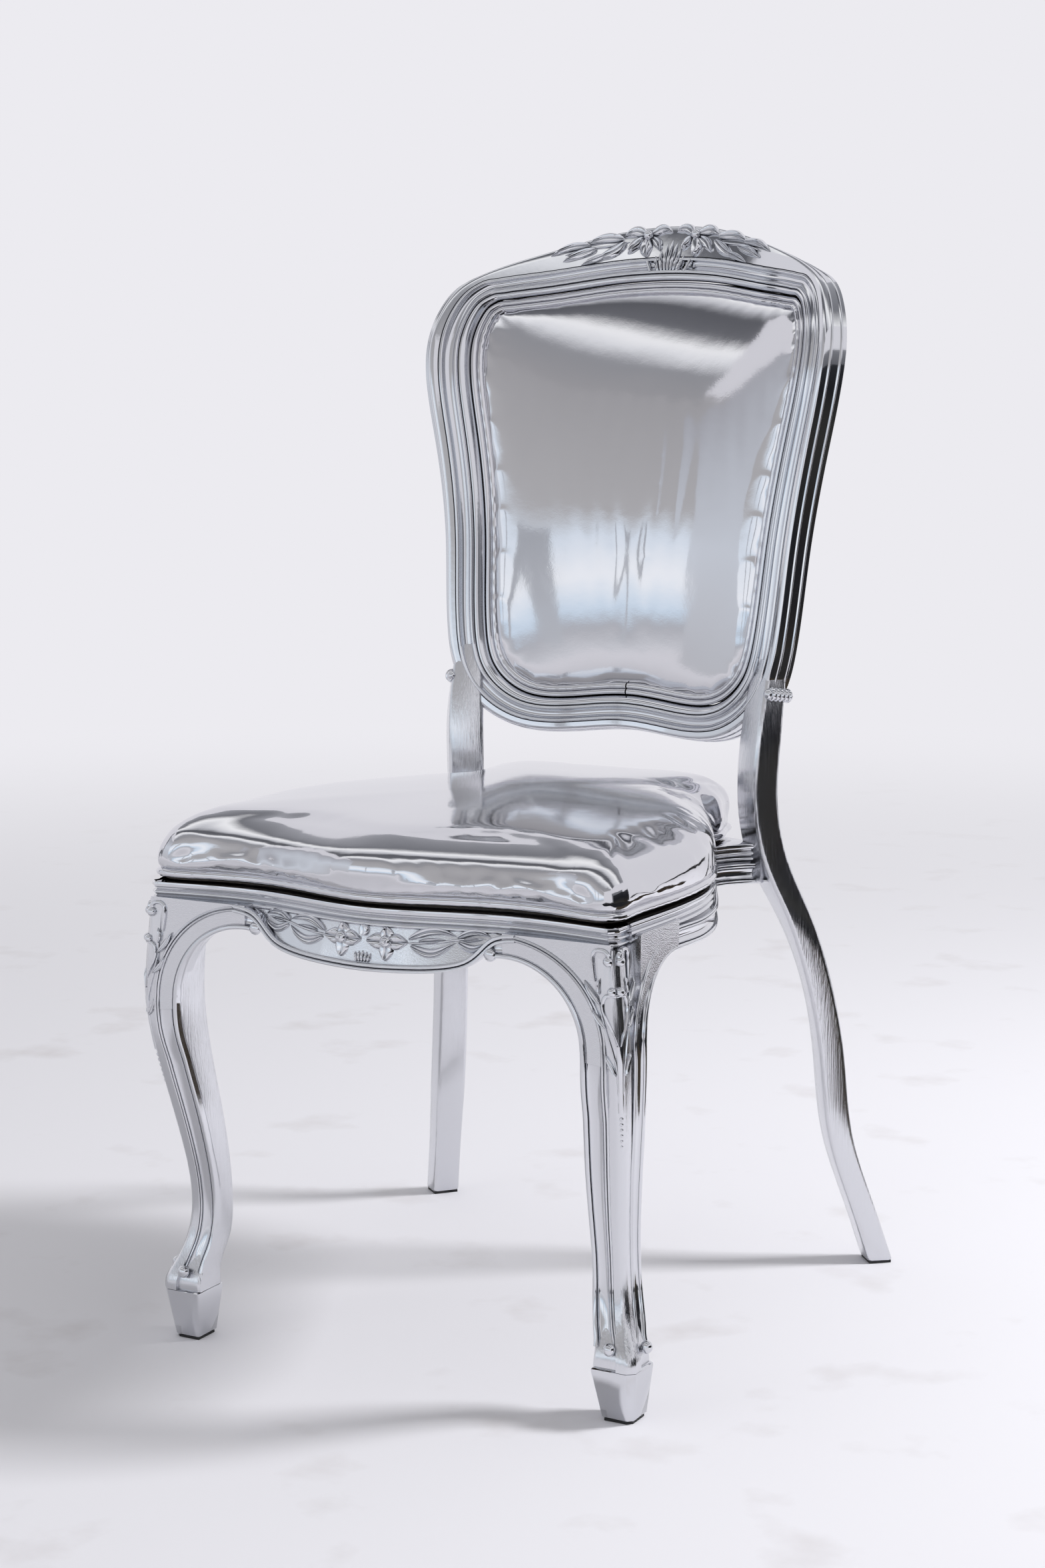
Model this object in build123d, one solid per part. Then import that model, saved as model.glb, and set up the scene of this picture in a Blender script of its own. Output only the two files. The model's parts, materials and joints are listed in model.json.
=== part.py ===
from build123d import *
import math
import os

# Plated plastic dining chair with a cabriole-leg seat frame, a curved back ring and two vinyl pads.
# Millimetres, +Z up, the sitter faces -Y, +X is the chair's left-to-right axis seen from the front.

# Curved back: the front surface of the ring, as depth over width and height
BACK_FOOT_Y = 162.0           # front surface at the ring's bottom centre
BACK_SLOPE = 0.19             # lean of the back per millimetre of height
CURL_START_Z = 780.0          # the crest curls back above this height
CURL = 0.00103                # curl back per square millimetre
BOW_LOW = 0.00160             # inward bow of the back at the ring's foot
BOW_RISE = 1.1e-6             # growth of that bow per millimetre of height

# Back ring
RING_BOTTOM_Z = 482.0
RING_DIP = 5.0                # the bottom rail hangs this far lower at its quarter points
RING_FOOT_HALF = 160.0        # half width at the lower corners
RING_HEAD_HALF = 193.0        # half width at the widest place
RING_HEAD_Z = 812.0
SHOULDER_HALF = 160.0
SHOULDER_Z = 889.0
CREST_Z = 932.0
RING_DEPTH = 26.0
BAND = 28.0                   # width of the moulded band
CREST_GROUND = 23.0           # extra height of the plain crest above the band
CREST_HALF = 165.0
BEAD = 1.6                    # how far the beads stand proud
COVE = 3.6                    # depth of the cove between the beads
LEDGE = 7.0                   # width of the ledge that carries the back board
LEDGE_T = 5.0
LEDGE_DEPTH = 15.0            # front of the ledge behind the ring's front surface
EAR_Z = 524.0
EAR_R = 6.2
EAR_LENGTH = 23.0

# Rear leg: front face width, side depth and turn of the section at the foot and at the seat
REAR_FOOT_WIDTH = 26.5
REAR_FOOT_DEPTH = 23.0
REAR_SEAT_WIDTH = 32.0
REAR_SEAT_DEPTH = 25.0
REAR_FOOT_TURN = 50.0
REAR_SEAT_TURN = 35.0
REAR_TOP_TURN = 27.0
REAR_FOOT_X = 228.0
REAR_FOOT_Y = 231.0

# Front leg
FOOT_SIZE = 26.0
FOOT_TOP_SIZE = 37.0
FOOT_HEIGHT = 44.0
ANKLE_SIZE = 27.5
KNEE_SIZE = 38.0
ANKLE_Z = 115.0
KNEE_Z = 305.0
LEG_CHAMFER = 6.0
KNEE_X = 218.0
KNEE_Y = -272.0
ANKLE_IN = 15.5               # the ankle's corner lies this far inside the knee's, across
ANKLE_BACK = 39.0             # and this far behind it
TOE_OUT = 16.5                # the toe's corner lies this far outside the ankle's, across
TOE_FORWARD = 18.5            # and this far in front of it
GLIDE = 2.5
GLIDE_INSET = 1.5
NAIL_R = 1.4
NAIL_HEAD_R = 4.0
NAIL_LENGTH = 18.0

# Seat frame
LIP_Z = 392.0                 # top of the rails
RAIL_HEIGHT = 36.0
RAIL_WIDTH = 24.0
APRON_HEIGHT = 50.0           # height of the front rail at its centre
APRON_RISE = 6.0              # the apron's lower edge rises this far towards the arches
APRON_FLARE = 3.0             # the apron's lower bead stands this far in front of the lip at the centre
WAVE_FLARE = 8.0              # and this far where the lip curves in
FRONT_Y = -281.0              # front rail at its centre
FRONT_WAVE = 19.0             # the rail curves in this far beside its centre
FRONT_WAVE_X = 108.0
CORNER_X = 211.0
CORNER_Y = -270.0
ARCH_R = 65.0                 # arch between front leg and apron
SIDE_ARCH_R = 60.0            # arch between front leg and side rail
SCROLL_WIDTH = 17.0           # width of the scroll band along the arches
SCROLL_SET_BACK = 2.0         # the band lies this far behind the knee's face
WAIST_X = 123.0               # narrowest half width, just before the rear legs
WAIST_Y = 93.0
REAR_RAIL_Y = 178.0           # back of the rear rail at its centre
REAR_RAIL_WIDTH = 20.0
REAR_RAIL_DROP = 2.0          # the rear rail's top lies this far below the lip
BOSS_R = 14.0
BOSS_OFFSET = 8.0             # front bosses lie this far inside the legs' inner corners
BOSS_RISE = 2.0               # the bosses carry the seat board this far above the lip

# Seat pad
BOARD_T = 8.0
PAD_OVERHANG = 2.0            # pad edge beyond the frame's lip
PAD_HEIGHT = 50.0             # from the board's top to the crown
PAD_DRAW_IN = 7.0             # the side is drawn in this far at the piping
PIPING = 5.5
VINYL = 1.2
SOFT_GAP = 0.3                # room between soft pieces and what they rest on

# Back pad
WELT = 11.0                   # width of the double welt
WELT_TOP = 2.6                # top of the welt behind the ring's front surface
WELT_JOINT = 0.8              # open butt joint at the bottom centre
BACK_EDGE_T = 7.5             # pad edge behind the ring's front surface
BACK_CROWN = 22.0             # rise of the pad's middle above its edge
BACK_BOARD_T = 4.0
REAR_BOARD_T = 3.0
RING_GAP = 0.8                # room between the ring's inner wall and what lies in it

# Fasteners
FIT = 0.05                    # room between a fastener and its hole
SCREW_R = 1.5
SCREW_HEAD_R = 2.8
SCREW_HEAD_T = 1.5
SCREW_SINK = 2.2              # screw heads lie this far below the slanting rear of the ledge
SEAT_SCREW_R = 3.0
SEAT_SCREW_HEAD_R = 5.5
SEAT_SCREW_HEAD_T = 4.0
TEE_FLANGE_R = 9.0
TEE_FLANGE_T = 1.5
TEE_BARREL_R = 4.2
BOLT_R = 2.5
BOLT_HEAD_R = 4.2
BOLT_HEAD_T = 4.0
BOLT_PITCH = 15.0
BOLT_SHIFT = 10.0             # bolts lie this far towards the inner edge of the leg's front face
WASHER_R = 5.5
WASHER_T = 1.5
INSERT_R = 4.0
INSERT_LENGTH = 12.0
INSERT_START = 6.5            # inserts lie this far behind the leg's front face
LEG_LEAN_ROOM = 8.0           # bolt holes run on this far past the leaning face between rail and leg
END_BLOCK = 14.0              # thickness of the rail's end between washer and leg


def back_y(x, z):
    """Depth of the ring's front surface at a width and a height."""
    curl = CURL * max(0.0, z - CURL_START_Z) ** 2
    bow = (BOW_LOW + BOW_RISE * (z - RING_BOTTOM_Z)) * x * x
    return BACK_FOOT_Y + BACK_SLOPE * (z - RING_BOTTOM_Z) + curl - bow


def back_normal(x, z):
    """Unit vector from the front surface of the back straight into it."""
    step = 1.0
    slope_x = (back_y(x + step, z) - back_y(x - step, z)) / (2 * step)
    slope_z = (back_y(x, z + step) - back_y(x, z - step)) / (2 * step)
    return Vector(-slope_x, 1, -slope_z).normalized()


def smooth_place(points, t):
    """Place and direction at t, from 0 to 1, on the smooth curve through points.

    The first and the last point lie on the chair's centre line, where the curve meets its mirror image.
    """
    flip = [Vector(-points[1].X, points[1].Y), *points, Vector(-points[-2].X, points[-2].Y)]
    reach = [0.0]
    for one, two in zip(flip, flip[1:]):
        reach.append(reach[-1] + (two - one).length)
    along = reach[1] + (reach[-2] - reach[1]) * t
    k = max(i for i in range(1, len(points)) if reach[i] <= along + 1e-9)
    slopes = []
    for i in (k, k + 1):
        before = (flip[i] - flip[i - 1]) / (reach[i] - reach[i - 1])
        after = (flip[i + 1] - flip[i]) / (reach[i + 1] - reach[i])
        share = (reach[i] - reach[i - 1]) / (reach[i + 1] - reach[i - 1])
        slopes.append(before * (1 - share) + after * share)
    span = reach[k + 1] - reach[k]
    u = (along - reach[k]) / span
    place = (flip[k] * (2 * u ** 3 - 3 * u ** 2 + 1) + slopes[0] * (span * (u ** 3 - 2 * u ** 2 + u))
             + flip[k + 1] * (3 * u ** 2 - 2 * u ** 3) + slopes[1] * (span * (u ** 3 - u ** 2)))
    heading = ((flip[k + 1] - flip[k]) * (6 * (u - u ** 2) / span) + slopes[0] * (3 * u ** 2 - 4 * u + 1)
               + slopes[1] * (3 * u ** 2 - 2 * u))
    return place, heading.normalized()


def ring_points():
    """Outer line of the ring's right half in width and height, from the bottom centre to the crest."""
    foot, head = RING_FOOT_HALF, RING_HEAD_HALF
    return [
        Vector(0, RING_BOTTOM_Z),
        Vector(foot * 0.4, RING_BOTTOM_Z - RING_DIP),
        Vector(foot * 0.63, RING_BOTTOM_Z - RING_DIP * 0.2),
        Vector(foot * 0.82, RING_BOTTOM_Z + 16),
        Vector(foot * 0.95, RING_BOTTOM_Z + 43),
        Vector(foot + 2.5, RING_BOTTOM_Z + 85),
        Vector(foot + 9, RING_BOTTOM_Z + 168),
        Vector(head - 12, RING_HEAD_Z - 77),
        Vector(head - 2, RING_HEAD_Z - 19),
        Vector(head - 0.5, RING_HEAD_Z + 17),
        Vector(head - 6.5, RING_HEAD_Z + 46),
        Vector(SHOULDER_HALF + 17, SHOULDER_Z - 13),
        Vector(SHOULDER_HALF - 3, SHOULDER_Z + 2),
        Vector(SHOULDER_HALF * 0.72, CREST_Z - 24),
        Vector(SHOULDER_HALF * 0.38, CREST_Z - 7),
        Vector(0, CREST_Z),
    ]


def band_width(x, z):
    """Width of the moulded band with the crest's plain ground, at a place on the outer line."""
    if z < SHOULDER_Z:
        return BAND
    return BAND + CREST_GROUND * max(0.0, 1 - (x / CREST_HALF) ** 2)


def ring_place(t, inset=0.0):
    """Width and height at t, from 0 at the bottom to 1 at the crest, moved inwards from the band by inset.

    Returns the place, the inward direction and the band's width there.
    """
    place, along = smooth_place(ring_points(), t)
    inward = Vector(-along.Y, along.X)
    width = band_width(place.X, place.Y)
    return place + inward * (width + inset), inward, width


def ring_section(t, profile):
    """Flat section across the ring at t, from a profile of (across, depth) pairs.

    The outer wall stands square to the curved back and the inner wall runs straight to the rear.
    """
    inner, inward, width = ring_place(t)
    outer = inner - inward * width
    points = []
    for across, depth in profile(width):
        place = outer + inward * across
        normal = back_normal(place.X, place.Y)
        lean = min(1.0, max(0.0, 1 - across / BAND))
        moved = place + inward * (depth * lean * (normal.X * inward.X + normal.Z * inward.Y))
        rear = depth * (lean * normal.Y + (1 - lean) / normal.Y)
        points.append(Vector(moved.X, back_y(place.X, place.Y) + rear, moved.Y))
    return make_face(Polyline(*points, close=True))


def ring_steps():
    """Shares of the way up the ring's right half, close together where it turns."""
    fine = 200
    turn_weight = 80
    spans = 36
    cost = [0.0]
    for i in range(fine):
        turn = ring_place((i + 1) / fine)[1] - ring_place(i / fine)[1]
        cost.append(cost[-1] + 1 + turn_weight * turn.length)
    goals = [cost[-1] * k / spans for k in range(spans)]
    return [next(i for i in range(fine) if cost[i + 1] > goal) / fine for goal in goals] + [1.0]


def ring_loft(profile):
    """Solid of a profile carried round the ring, both halves joined at the bottom and at the crest."""
    half = loft([ring_section(t, profile) for t in ring_steps()], ruled=True)
    return half + mirror(half, about=Plane.YZ)


def band_profile(width):
    """Moulded band: rim, plain ground, bead, cove, bead and the inner wall."""
    ground = width - 22
    return [
        (0, RING_DEPTH), (0, 3), (1.8, 0.6), (ground - 1, 0.6), (ground, -BEAD * 0.6),
        (ground + 4, -BEAD * 0.6),
        (ground + 5.5, COVE * 0.6), (ground + 8.5, COVE), (ground + 12, COVE * 0.6),
        (ground + 13.5, -BEAD * 0.5),
        (ground + 17.5, -BEAD), (ground + 21, 0), (width, COVE), (width, RING_DEPTH),
    ]


def welt_profile(width):
    """Two round cords side by side on the back board."""
    low = width + RING_GAP
    cord = (WELT - RING_GAP) / 2
    base = LEDGE_DEPTH - BACK_BOARD_T - 2 * SOFT_GAP
    points = [(low, base)]
    for start in (low, low + cord):
        points += [(start + cord * s, WELT_TOP + cord * h)
                   for s, h in ((0.04, 0.42), (0.3, 0.03), (0.7, 0.03), (0.96, 0.42))]
    return points + [(low + 2 * cord, base)]


def back_welt():
    """Double welt round the back pad, open at its butt joint in the middle of the bottom."""
    joint = Box(WELT_JOINT, RING_HEAD_HALF, 2 * (BAND + WELT))
    return ring_loft(welt_profile) - Pos(0, BACK_FOOT_Y, RING_BOTTOM_Z + BAND + WELT) * joint


def ring_prism(inset):
    """Upright block that fills the ring's opening, its edge moved inwards by inset."""
    right = [ring_place(i / 24, inset)[0] for i in range(25)]
    left = [Vector(-p.X, p.Y) for p in right[-2:0:-1]]
    outline = Spline(*[Vector(p.X, 0, p.Y) for p in right + left], periodic=True)
    return extrude(make_face(outline), amount=2 * RING_HEAD_HALF + CREST_Z, dir=(0, 1, 0))


def depth_curve(z, depth):
    """Level curve across the back, a depth behind the ring's front surface."""
    steps = [j / 12 for j in range(13)]
    points = []
    for step in steps:
        x = RING_HEAD_HALF * (2 * step - 1)
        points.append(Vector(x, back_y(x, z) + depth(x, z) / back_normal(x, z).Y, z))
    return Edge.make_spline(points, parameters=steps)


def back_slab(front, rear):
    """Curved slab of the back between two depths, each a function of width and height."""
    low = RING_BOTTOM_Z + BAND / 2
    high = CREST_Z - BAND
    levels = 9
    faces = []
    for i in range(levels):
        z = low + (high - low) * i / (levels - 1)
        fore = depth_curve(z, front)
        aft = depth_curve(z, rear)
        ends = [Line(fore @ side, aft @ side) for side in (0, 1)]
        faces.append(make_face([fore, aft, *ends]))
    return loft(faces)


def layer(front, rear, inset):
    """Layer of the back pad that fills the ring's opening between two depths."""
    return back_slab(front, rear) & ring_prism(inset)


def flat_depth(depth):
    """Depth that stays the same all over the back."""
    return lambda x, z: depth


def pillow(edge):
    """Depth of the pad's crowned front: low at its edge and proud in the middle."""
    middle_z = (RING_BOTTOM_Z + CREST_Z) / 2 - 10
    half_height = (CREST_Z - RING_BOTTOM_Z) / 2 - 38

    def depth(x, z):
        across = min(1.0, abs(x) / (RING_HEAD_HALF - 26))
        up = min(1.0, abs(z - middle_z) / half_height)
        return edge - BACK_CROWN * (1 - across ** 4) * (1 - up ** 4)
    return depth


def turned_section(x, y, z, width, depth, turn):
    """Level rectangle of the right rear leg, its front face turned inwards by turn degrees."""
    angle = math.radians(turn)
    face = Vector(-math.sin(angle), -math.cos(angle))
    side = Vector(math.cos(angle), -math.sin(angle))
    corners = [(1, 1), (1, -1), (-1, -1), (-1, 1)]
    points = [Vector(x, y) + face * (depth / 2 * f) + side * (width / 2 * s) for f, s in corners]
    return make_face(Polyline(*[Vector(p.X, p.Y, z) for p in points], close=True))


def rear_leg_stations():
    """Height, place, section and turn along the right rear leg, from its glide into the ring."""
    top_x = RING_FOOT_HALF - 10
    top_z = RING_BOTTOM_Z + 70
    top_y = back_y(top_x, top_z) + RING_DEPTH / 2 + 2
    seat_x = RING_FOOT_HALF - 13.5
    seat_y = back_y(seat_x, RING_BOTTOM_Z) + 8.5
    foot = (REAR_FOOT_WIDTH, REAR_FOOT_DEPTH, REAR_FOOT_TURN)
    seat = (REAR_SEAT_WIDTH, REAR_SEAT_DEPTH, REAR_SEAT_TURN)
    shin = (REAR_FOOT_WIDTH + 2, REAR_FOOT_DEPTH, REAR_FOOT_TURN + 1)
    return [
        (GLIDE, REAR_FOOT_X, REAR_FOOT_Y, *foot),
        (60, REAR_FOOT_X - 13, REAR_FOOT_Y - 17, *foot),
        (120, REAR_FOOT_X - 26, REAR_FOOT_Y - 34, *shin),
        (200, REAR_FOOT_X - 33.5, REAR_FOOT_Y - 41.5, *shin),
        (LIP_Z - 116, seat_x + 38, seat_y + 39, *shin),
        (LIP_Z - 65, seat_x + 25, seat_y + 23, REAR_SEAT_WIDTH - 2, REAR_SEAT_DEPTH - 1, REAR_SEAT_TURN + 7),
        (LIP_Z - 20, seat_x + 8.5, seat_y + 9, *seat),
        (LIP_Z + 38, seat_x, seat_y, *seat),
        (RING_BOTTOM_Z + 3, seat_x + 1.5, seat_y + 2, *seat),
        (RING_BOTTOM_Z + 38, top_x - 0.7, (seat_y + top_y) / 2, REAR_SEAT_WIDTH - 3, REAR_SEAT_DEPTH - 2,
         (REAR_SEAT_TURN + REAR_TOP_TURN) / 2),
        (top_z, top_x, top_y, REAR_SEAT_WIDTH - 6, REAR_SEAT_DEPTH - 4, REAR_TOP_TURN),
    ]


def rear_leg():
    """Right rear leg and stile."""
    return loft([turned_section(x, y, z, w, d, a) for z, x, y, w, d, a in rear_leg_stations()])


def ear():
    """Rolled scroll on the outside of the right stile, with a small eye on its front end."""
    x = RING_FOOT_HALF - 1
    normal = back_normal(x, EAR_Z)
    front = Plane(Vector(x, back_y(x, EAR_Z), EAR_Z) + normal * 2, z_dir=normal)
    return cylinder(front, EAR_R, 0, EAR_LENGTH) + cylinder(front, EAR_R * 0.6, -EAR_R * 0.5, EAR_R)


def ledge():
    """Ledge inside the ring that carries the back board in front and the rear board behind."""
    slab = layer(flat_depth(LEDGE_DEPTH), flat_depth(LEDGE_DEPTH + LEDGE_T), -4)
    return slab - ring_prism(LEDGE)


def back_frame():
    """Rear legs, ring, crest, ledge and ears as one moulding, with holes for its fasteners."""
    right = rear_leg() + ear()
    frame = ring_loft(band_profile) + ledge() + right + mirror(right, about=Plane.YZ)
    bore = LEG_LEAN_ROOM + INSERT_START + INSERT_LENGTH + 1
    holes = [cylinder(plane, INSERT_R + FIT, -LEG_LEAN_ROOM, bore) for plane in bolt_frames()]
    holes.append(cylinder(rear_nail_plane(), NAIL_R + FIT, GLIDE, NAIL_LENGTH + 1))
    for hole in holes:
        frame -= both_sides(hole)
    for plane in back_screw_planes():
        frame -= cylinder(plane, SCREW_R + FIT, 0, LEDGE_T + SCREW_SINK)
        frame -= cylinder(plane, SCREW_HEAD_R + FIT, -SCREW_SINK, 2 * SCREW_SINK + SCREW_HEAD_T)
    return frame


def back_screw_planes():
    """Planes on the rear of the ledge, looking forward, one for each screw of the back board."""
    planes = []
    for t in (0.08, 0.45, 0.9):
        place, _, _ = ring_place(t, LEDGE / 2)
        rear = (LEDGE_DEPTH + LEDGE_T) / back_normal(place.X, place.Y).Y
        for side in (-1, 1):
            planes.append(Plane((side * place.X, back_y(place.X, place.Y) + rear, place.Y), z_dir=(0, -1, 0)))
    return planes


def back_screws():
    """Short screws through the ledge into the back board."""
    reach = LEDGE_T + BACK_BOARD_T - SCREW_SINK - 0.8
    return [cylinder(plane, SCREW_HEAD_R, SCREW_SINK, SCREW_HEAD_T)
            + cylinder(plane, SCREW_R, SCREW_SINK + 0.5, reach)
            for plane in back_screw_planes()]


def back_board():
    """Hardboard in front of the ledge, bored for its screws."""
    board = layer(flat_depth(LEDGE_DEPTH - BACK_BOARD_T), flat_depth(LEDGE_DEPTH), RING_GAP)
    for plane in back_screw_planes():
        board -= cylinder(plane, SCREW_R + FIT, SCREW_SINK, LEDGE_T + BACK_BOARD_T - SCREW_SINK - 0.2)
    return board


def back_pad():
    """Crowned vinyl cover of the back and the foam under it."""
    rear = LEDGE_DEPTH - BACK_BOARD_T - SOFT_GAP
    edge = WELT + RING_GAP
    cover = layer(pillow(BACK_EDGE_T), pillow(BACK_EDGE_T + VINYL), edge)
    foam = layer(pillow(BACK_EDGE_T + VINYL + SOFT_GAP), flat_depth(rear), edge + 1)
    return cover, foam


def rear_panel():
    """Thin board that closes the back from behind, and its vinyl skin."""
    rear = LEDGE_DEPTH + LEDGE_T
    board = layer(flat_depth(rear), flat_depth(rear + REAR_BOARD_T), RING_GAP)
    skin = rear + REAR_BOARD_T + SOFT_GAP
    return board, layer(flat_depth(skin), flat_depth(skin + VINYL), RING_GAP)


def corner_section(x, y, z, size):
    """Level square of the right front leg with a chamfered outer corner at x, y."""
    cut = LEG_CHAMFER * size / KNEE_SIZE
    points = [(x - cut, y), (x, y + cut), (x, y + size), (x - size, y + size), (x - size, y)]
    return make_face(Polyline(*[Vector(px, py, z) for px, py in points], close=True))


def front_leg_stations():
    """Height, corner place and size along the right front leg above its block foot."""
    ankle = (KNEE_X - ANKLE_IN, KNEE_Y + ANKLE_BACK)
    toe = (ankle[0] + TOE_OUT, ankle[1] - TOE_FORWARD)
    return [
        (FOOT_HEIGHT, *toe, FOOT_TOP_SIZE),
        (FOOT_HEIGHT + 8, toe[0] - 0.5, toe[1] + 0.5, FOOT_TOP_SIZE - 1),
        (FOOT_HEIGHT + 20, toe[0] - 5.5, toe[1] + 6, FOOT_TOP_SIZE - 5),
        (FOOT_HEIGHT + 38, ankle[0] + 4.5, ankle[1] - 4.5, ANKLE_SIZE + 2),
        (ANKLE_Z, *ankle, ANKLE_SIZE),
        (ANKLE_Z + 45, ankle[0] + 2, ankle[1] - 7, ANKLE_SIZE + 2),
        (KNEE_Z - 85, KNEE_X - 6, KNEE_Y + 16.5, KNEE_SIZE - 4),
        (KNEE_Z - 30, KNEE_X - 0.7, KNEE_Y + 3.5, KNEE_SIZE - 1),
        (KNEE_Z, KNEE_X, KNEE_Y, KNEE_SIZE),
        (LIP_Z - 40, CORNER_X + 3, CORNER_Y - 2, KNEE_SIZE),
        (LIP_Z - 0.6, CORNER_X, CORNER_Y, KNEE_SIZE),
    ]


def foot_corner():
    """Place of the right front foot's outer corner on its glide."""
    _, x, y, _ = front_leg_stations()[0]
    return x - 5, y + 9


def front_leg():
    """Right cabriole leg with its tapered block foot."""
    x, y = foot_corner()
    stations = front_leg_stations()
    _, top_x, top_y, top_size = stations[0]
    block = loft([corner_section(x, y, GLIDE, FOOT_SIZE),
                  corner_section(top_x, top_y, FOOT_HEIGHT, top_size)], ruled=True)
    return block + loft([corner_section(px, py, z, size) for z, px, py, size in stations])


def rail_section(outer, inner, bottom, flare=0.0):
    """Section of a rail between its outer and inner lines: lip, step, two beads, face and lower bead.

    The lower bead stands out from the lip by flare.
    """
    across = (inner - outer).normalized()
    width = (inner - outer).length
    profile = [
        (0, LIP_Z), (0, LIP_Z - 4), (2.4, LIP_Z - 6), (0, LIP_Z - 9), (1.6, LIP_Z - 12), (0.6, LIP_Z - 15),
        (3 - flare * 0.3, LIP_Z - 18), (3 - flare, bottom + 8), (-1 - flare, bottom + 5),
        (-1 - flare, bottom + 2),
        (2 - flare, bottom), (width - 6, bottom), (width, bottom + 6), (width, LIP_Z),
    ]
    points = [outer + across * s for s, _ in profile]
    return make_face(Polyline(*[Vector(p.X, p.Y, z) for p, (_, z) in zip(points, profile)], close=True))


def front_line():
    """Serpentine outer line of the front rail, left to right."""
    wave_y = FRONT_Y + FRONT_WAVE
    return Spline((-CORNER_X, CORNER_Y), (-FRONT_WAVE_X, wave_y), (0, FRONT_Y), (FRONT_WAVE_X, wave_y),
                  (CORNER_X, CORNER_Y))


def apron_bottom(x):
    """Height of the front rail's lower edge."""
    centre = LIP_Z - APRON_HEIGHT
    arch_top = LIP_Z - RAIL_HEIGHT + 5
    blend = min(1.0, max(0.0, (abs(x) - 78) / 44))
    smooth = blend * blend * (3 - 2 * blend)
    return (centre + APRON_RISE * (x / 78) ** 2) * (1 - smooth) + arch_top * smooth


def apron_flare(x):
    """How far the apron's lower bead stands in front of the lip."""
    beside = math.exp(-((abs(x) - FRONT_WAVE_X) / (FRONT_WAVE_X / 2)) ** 2)
    return APRON_FLARE + (WAVE_FLARE - APRON_FLARE) * beside


def front_rail():
    """Bowed front rail with its hanging apron."""
    line = front_line()
    end = KNEE_SIZE * 0.72 / line.length
    count = 17
    faces = []
    for i in range(count):
        t = end + (1 - 2 * end) * i / (count - 1)
        outer = line.position_at(t)
        along = line.tangent_at(t)
        inner = outer + Vector(-along.Y, along.X) * RAIL_WIDTH
        faces.append(rail_section(outer, inner, apron_bottom(outer.X), apron_flare(outer.X)))
    return loft(faces)


def side_line():
    """Outer line of the right side rail: bulges, draws in to a waist and flares into the rear leg."""
    _, leg_x, leg_y, _, _, _ = rear_leg_stations()[6]
    return Spline(
        (CORNER_X, CORNER_Y + KNEE_SIZE * 0.72), (CORNER_X + 2, CORNER_Y + 85),
        (CORNER_X - 8, CORNER_Y + 190),
        ((CORNER_X + WAIST_X) / 2 + 1, WAIST_Y - 93), (WAIST_X + 15, WAIST_Y - 35), (WAIST_X, WAIST_Y),
        (WAIST_X + 8, WAIST_Y + 20), (leg_x + 7.6, leg_y - 5.4))


def side_rail():
    """Right side rail."""
    line = side_line()
    bottom = LIP_Z - RAIL_HEIGHT
    count = 17
    faces = []
    for i in range(count):
        outer = line.position_at(i / (count - 1))
        along = line.tangent_at(i / (count - 1))
        faces.append(rail_section(outer, outer + Vector(-along.Y, along.X) * RAIL_WIDTH, bottom))
    return loft(faces)


def scroll_outline(edge, way, radius, top):
    """Outline of a bracket under a rail, in width and height: a quarter arch with a scroll above it.

    It springs from a leg at edge, and way is the side to which it reaches.
    """
    low = top - radius
    tip = edge + way * radius
    mid = radius * (1 - math.sqrt(0.5))
    crown = SCROLL_WIDTH
    return [
        ThreePointArc((edge, low), (edge + way * mid, top - mid), (tip, top)),
        ThreePointArc((tip, top), (tip + way * crown * 0.55, top + crown * 0.35), (tip, top + crown * 0.7)),
        ThreePointArc((tip, top + crown * 0.7), (edge + way * radius * 0.55, top + crown * 0.55),
                      (edge - way * 2, top - radius * 0.12)),
        Polyline((edge - way * 2, top - radius * 0.12), (edge - way * 10, top - radius * 0.12),
                 (edge - way * 10, low), (edge, low)),
    ]


def front_arch():
    """Bracket that rounds the corner between the right front leg and the front rail."""
    leg_edge = KNEE_X - KNEE_SIZE + 3
    outline = scroll_outline(leg_edge, -1, ARCH_R, LIP_Z - RAIL_HEIGHT + 5)
    face = make_face([Plane.XZ.offset(-KNEE_Y - SCROLL_SET_BACK) * edge for edge in outline])
    return extrude(face, amount=RAIL_WIDTH + 2, dir=(0, 1, 0))


def side_arch():
    """Bracket that rounds the corner between the right front leg and the side rail."""
    leg_edge = KNEE_Y + KNEE_SIZE - 3
    outline = scroll_outline(leg_edge, 1, SIDE_ARCH_R, LIP_Z - RAIL_HEIGHT + 3)
    face = make_face([Plane.YZ.offset(KNEE_X - SCROLL_SET_BACK) * edge for edge in outline])
    return extrude(face, amount=RAIL_WIDTH + 2, dir=(-1, 0, 0))


def rear_rail():
    """Rear rail between the rear legs, bowed backwards."""
    _, leg_x, leg_y, _, _, _ = rear_leg_stations()[6]
    bow = REAR_RAIL_Y - leg_y
    bottom = LIP_Z - RAIL_HEIGHT + REAR_RAIL_DROP
    back = ThreePointArc((-leg_x, leg_y, bottom), (0, leg_y + bow, bottom), (leg_x, leg_y, bottom))
    front_y = leg_y - REAR_RAIL_WIDTH
    front = ThreePointArc((-leg_x, front_y, bottom), (0, front_y + bow, bottom), (leg_x, front_y, bottom))
    ends = [Line(back @ side, front @ side) for side in (0, 1)]
    return extrude(make_face([back, front, *ends]), amount=RAIL_HEIGHT - 2 * REAR_RAIL_DROP, dir=(0, 0, 1))


def boss_places():
    """Centres of the four bosses that carry the seat board."""
    front = Vector(CORNER_X - KNEE_SIZE - BOSS_OFFSET, CORNER_Y + KNEE_SIZE + BOSS_OFFSET)
    rear = Vector(WAIST_X - 28, REAR_RAIL_Y - 40)
    return [Vector(side * p.X, p.Y) for p in (front, rear) for side in (-1, 1)]


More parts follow.
